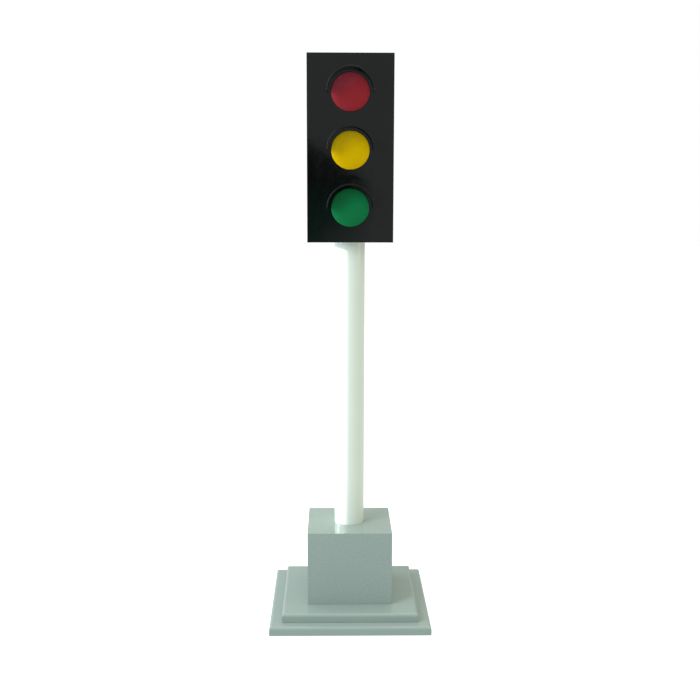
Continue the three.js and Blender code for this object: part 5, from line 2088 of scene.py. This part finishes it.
@dataclass
class Studio:
    """A plain pale floor, soft light from the left, and a long-lens camera a little above."""

    camera_place: tuple[float, float, float] = (-0.0408, -2.7284, 1.1359)
    yaw: float = -0.0153
    pitch: float = -0.1626
    roll: float = -0.002
    lens_mm: float = 55.29
    sensor_mm: float = 36.0
    all_round: Colour = (0.49, 0.50, 0.445)
    overhead: Colour = (0.225, 0.265, 0.235)
    underfoot: Colour = (0.62, 0.70, 0.65)
    left: Colour = (0.76, 0.88, 1.16)
    right: Colour = (0.02, 0.02, 0.02)
    ahead: Colour = (0.46, 0.50, 0.49)
    side_strength: float = 6.5
    side_spread: float = math.radians(2.0)
    side_colour: Colour = (0.97, 1.0, 0.99)
    side_aim: tuple[float, float, float] = (1.0, -0.09, -0.22)

    def build(self) -> None:
        """Makes the camera, the floor, the surroundings and the lights."""
        bpy.context.scene.view_settings.view_transform = "Standard"
        self._camera()
        self._floor()
        self._surroundings()
        for light in SOFT_LIGHTS:
            light.hang()

    def _camera(self) -> None:
        """Makes the camera."""
        data = bpy.data.cameras.new("camera")
        data.sensor_width = self.sensor_mm
        data.lens = self.lens_mm
        camera = bpy.data.objects.new("camera", data)
        bpy.context.scene.collection.objects.link(camera)
        turn = (
            Matrix.Rotation(self.yaw, 4, "Z")
            @ Matrix.Rotation(self.pitch, 4, "X")
            @ Matrix.Rotation(self.roll, 4, "Y")
            @ Matrix.Rotation(math.pi / 2, 4, "X")
        )
        camera.matrix_world = Matrix.Translation(self.camera_place) @ turn
        bpy.context.scene.camera = camera

    def _floor(self) -> None:
        """Makes a wide pale floor."""
        shape = bmesh.new()
        bmesh.ops.create_grid(shape, x_segments=4, y_segments=4, size=14.0)
        floor = piece_of("floor", shape)
        material = bpy.data.materials.new("floor_white")
        material.use_nodes = True
        material.node_tree.nodes.clear()
        graph = Graph(material.node_tree)
        matt = graph.add("ShaderNodeBsdfDiffuse", {"Color": (0.93, 0.93, 0.93, 1.0)})
        glow = graph.add("ShaderNodeEmission", {"Color": (1.0, 1.0, 1.0, 1.0), "Strength": 0.45})
        both = graph.add("ShaderNodeAddShader", {0: matt.outputs[0], 1: glow.outputs[0]})
        graph.add("ShaderNodeOutputMaterial", {"Surface": both.outputs[0]})
        floor.data.materials.append(material)
        floor.visible_diffuse = False
        floor.visible_glossy = False

    def _surroundings(self) -> None:
        """Makes a white backdrop for the camera and a softer, uneven room for everything else."""
        world = bpy.data.worlds.new("studio")
        bpy.context.scene.world = world
        world.use_nodes = True
        world.node_tree.nodes.clear()
        graph = Graph(world.node_tree)
        towards = graph.add("ShaderNodeTexCoord").outputs["Generated"]
        parts = graph.add("ShaderNodeSeparateXYZ", {0: towards})
        x, y, z = (parts.outputs[axis] for axis in "XYZ")
        front = graph.remap(y, (-0.55, -0.85), (0.0, 1.0))
        room = self._sum(
            graph,
            (self.all_round, None, None),
            (self.overhead, z, (0.05, 0.7)),
            (self.underfoot, z, (-0.05, -0.5)),
            (self.left, x, (-0.2, -0.8)),
            (self.right, x, (0.2, 0.8)),
        )
        ahead = graph.blend(front, room, opaque(self.ahead))
        dark = self._dark_figure(graph, x, y, z)
        low = graph.remap(z, (-0.005, -0.035), (0.0, 1.0))
        figure = graph.blend(low, (0.02, 0.025, 0.022, 1.0), (0.02, 0.14, 0.10, 1.0))
        shaded = graph.blend(dark, ahead, figure)
        light = graph.add("ShaderNodeBackground", {"Color": shaded, "Strength": 1.0})
        plain = graph.add("ShaderNodeBackground", {"Color": (1.0, 1.0, 1.0, 1.0), "Strength": 1.0})
        seen = graph.add("ShaderNodeLightPath").outputs["Is Camera Ray"]
        both = graph.add("ShaderNodeMixShader", {0: seen, 1: light.outputs[0], 2: plain.outputs[0]})
        graph.add("ShaderNodeOutputWorld", {"Surface": both.outputs[0]})

    @staticmethod
    def _sum(graph: Graph, *lobes: tuple) -> Socket:
        """Adds up the room's light.

        Args:
            graph: the world's tree.
            lobes: each a colour, the socket it grows along, and where it starts and is full.

        Returns:
            The summed colour.
        """
        total = None
        for colour, along, span in lobes:
            share = 1.0 if along is None else graph.remap(along, span, (0.0, 1.0))
            lobe = graph.blend(share, BLANK, opaque(colour))
            first, second = (lobe, BLANK) if total is None else (total, lobe)
            inputs = {0: 1.0, 6: first, 7: second}
            node = graph.add("ShaderNodeMix", inputs, data_type="RGBA", blend_type="ADD")
            total = node.outputs[2]
        return total

    @staticmethod
    def _dark_figure(graph: Graph, x: object, y: object, z: object) -> Socket:
        """Marks the dark shape in front that the polished sheet mirrors low down on its left.

        Args:
            graph: the world's tree.
            x: the direction's part to the right.
            y: the direction's part to the back.
            z: the direction's part upward.

        Returns:
            1 inside the shape, 0 outside.
        """
        ahead = graph.math("MULTIPLY", y, -1.0)
        across, upward = graph.math("DIVIDE", x, ahead), graph.math("DIVIDE", z, ahead)
        edge = graph.math("ADD", graph.math("MULTIPLY", across, 0.66), upward)
        top = graph.remap(edge, (0.0148, 0.0106), (0.0, 1.0))
        right = graph.remap(across, (0.0360, 0.0260), (0.0, 1.0))
        left = graph.remap(across, (-0.09, -0.06), (0.0, 1.0))
        fall = graph.math("SUBTRACT", graph.math("MULTIPLY", across, 0.9), upward)
        glow = graph.remap(fall, (0.0352, 0.0948), (1.0, 0.0))
        facing = graph.math("GREATER_THAN", ahead, 0.0)
        corner = graph.math("MULTIPLY", top, right)
        inside = graph.math("MULTIPLY", corner, graph.math("MULTIPLY", left, facing))
        return graph.math("MULTIPLY", inside, glow)

    @classmethod
    def side_light(cls, pole: Piece) -> None:
        """Makes the low light from the left that only the pole is given.

        Args:
            pole: the tube.
        """
        lit = bpy.data.collections.new("side_light_on")
        lit.objects.link(pole)
        data = bpy.data.lights.new("side_light", "SUN")
        data.energy = cls.side_strength
        data.angle = cls.side_spread
        data.color = cls.side_colour
        lamp = bpy.data.objects.new("side_light", data)
        bpy.context.scene.collection.objects.link(lamp)
        aim = Vector(cls.side_aim).to_track_quat("-Z", "Y")
        lamp.matrix_world = aim.to_matrix().to_4x4()
        lamp.light_linking.receiver_collection = lit


# ---------------------------------------------------------------- making it


def main() -> None:
    """Builds the studio and every sub-assembly."""
    logging.basicConfig(level=logging.INFO, format="%(name)s %(message)s")
    Studio().build()
    recipes = Recipes()
    assemblies: list[Assembly] = [
        Plinth(recipes), Block(recipes), Pole(recipes), HeadBox(recipes),
        *(Aspect(recipes, colour=colour) for colour in AspectColour),
        Hinge(recipes), Door(recipes), Latch(recipes), Keeper(recipes), ServicePanel(recipes),
        PowerRocker(recipes), ModeKnob(recipes), ControlGear(recipes), Wiring(recipes),
    ]
    for assembly in assemblies:
        assembly.build()
        assembly.report()
    bpy.context.view_layer.update()


if __name__ == "__main__":
    main()
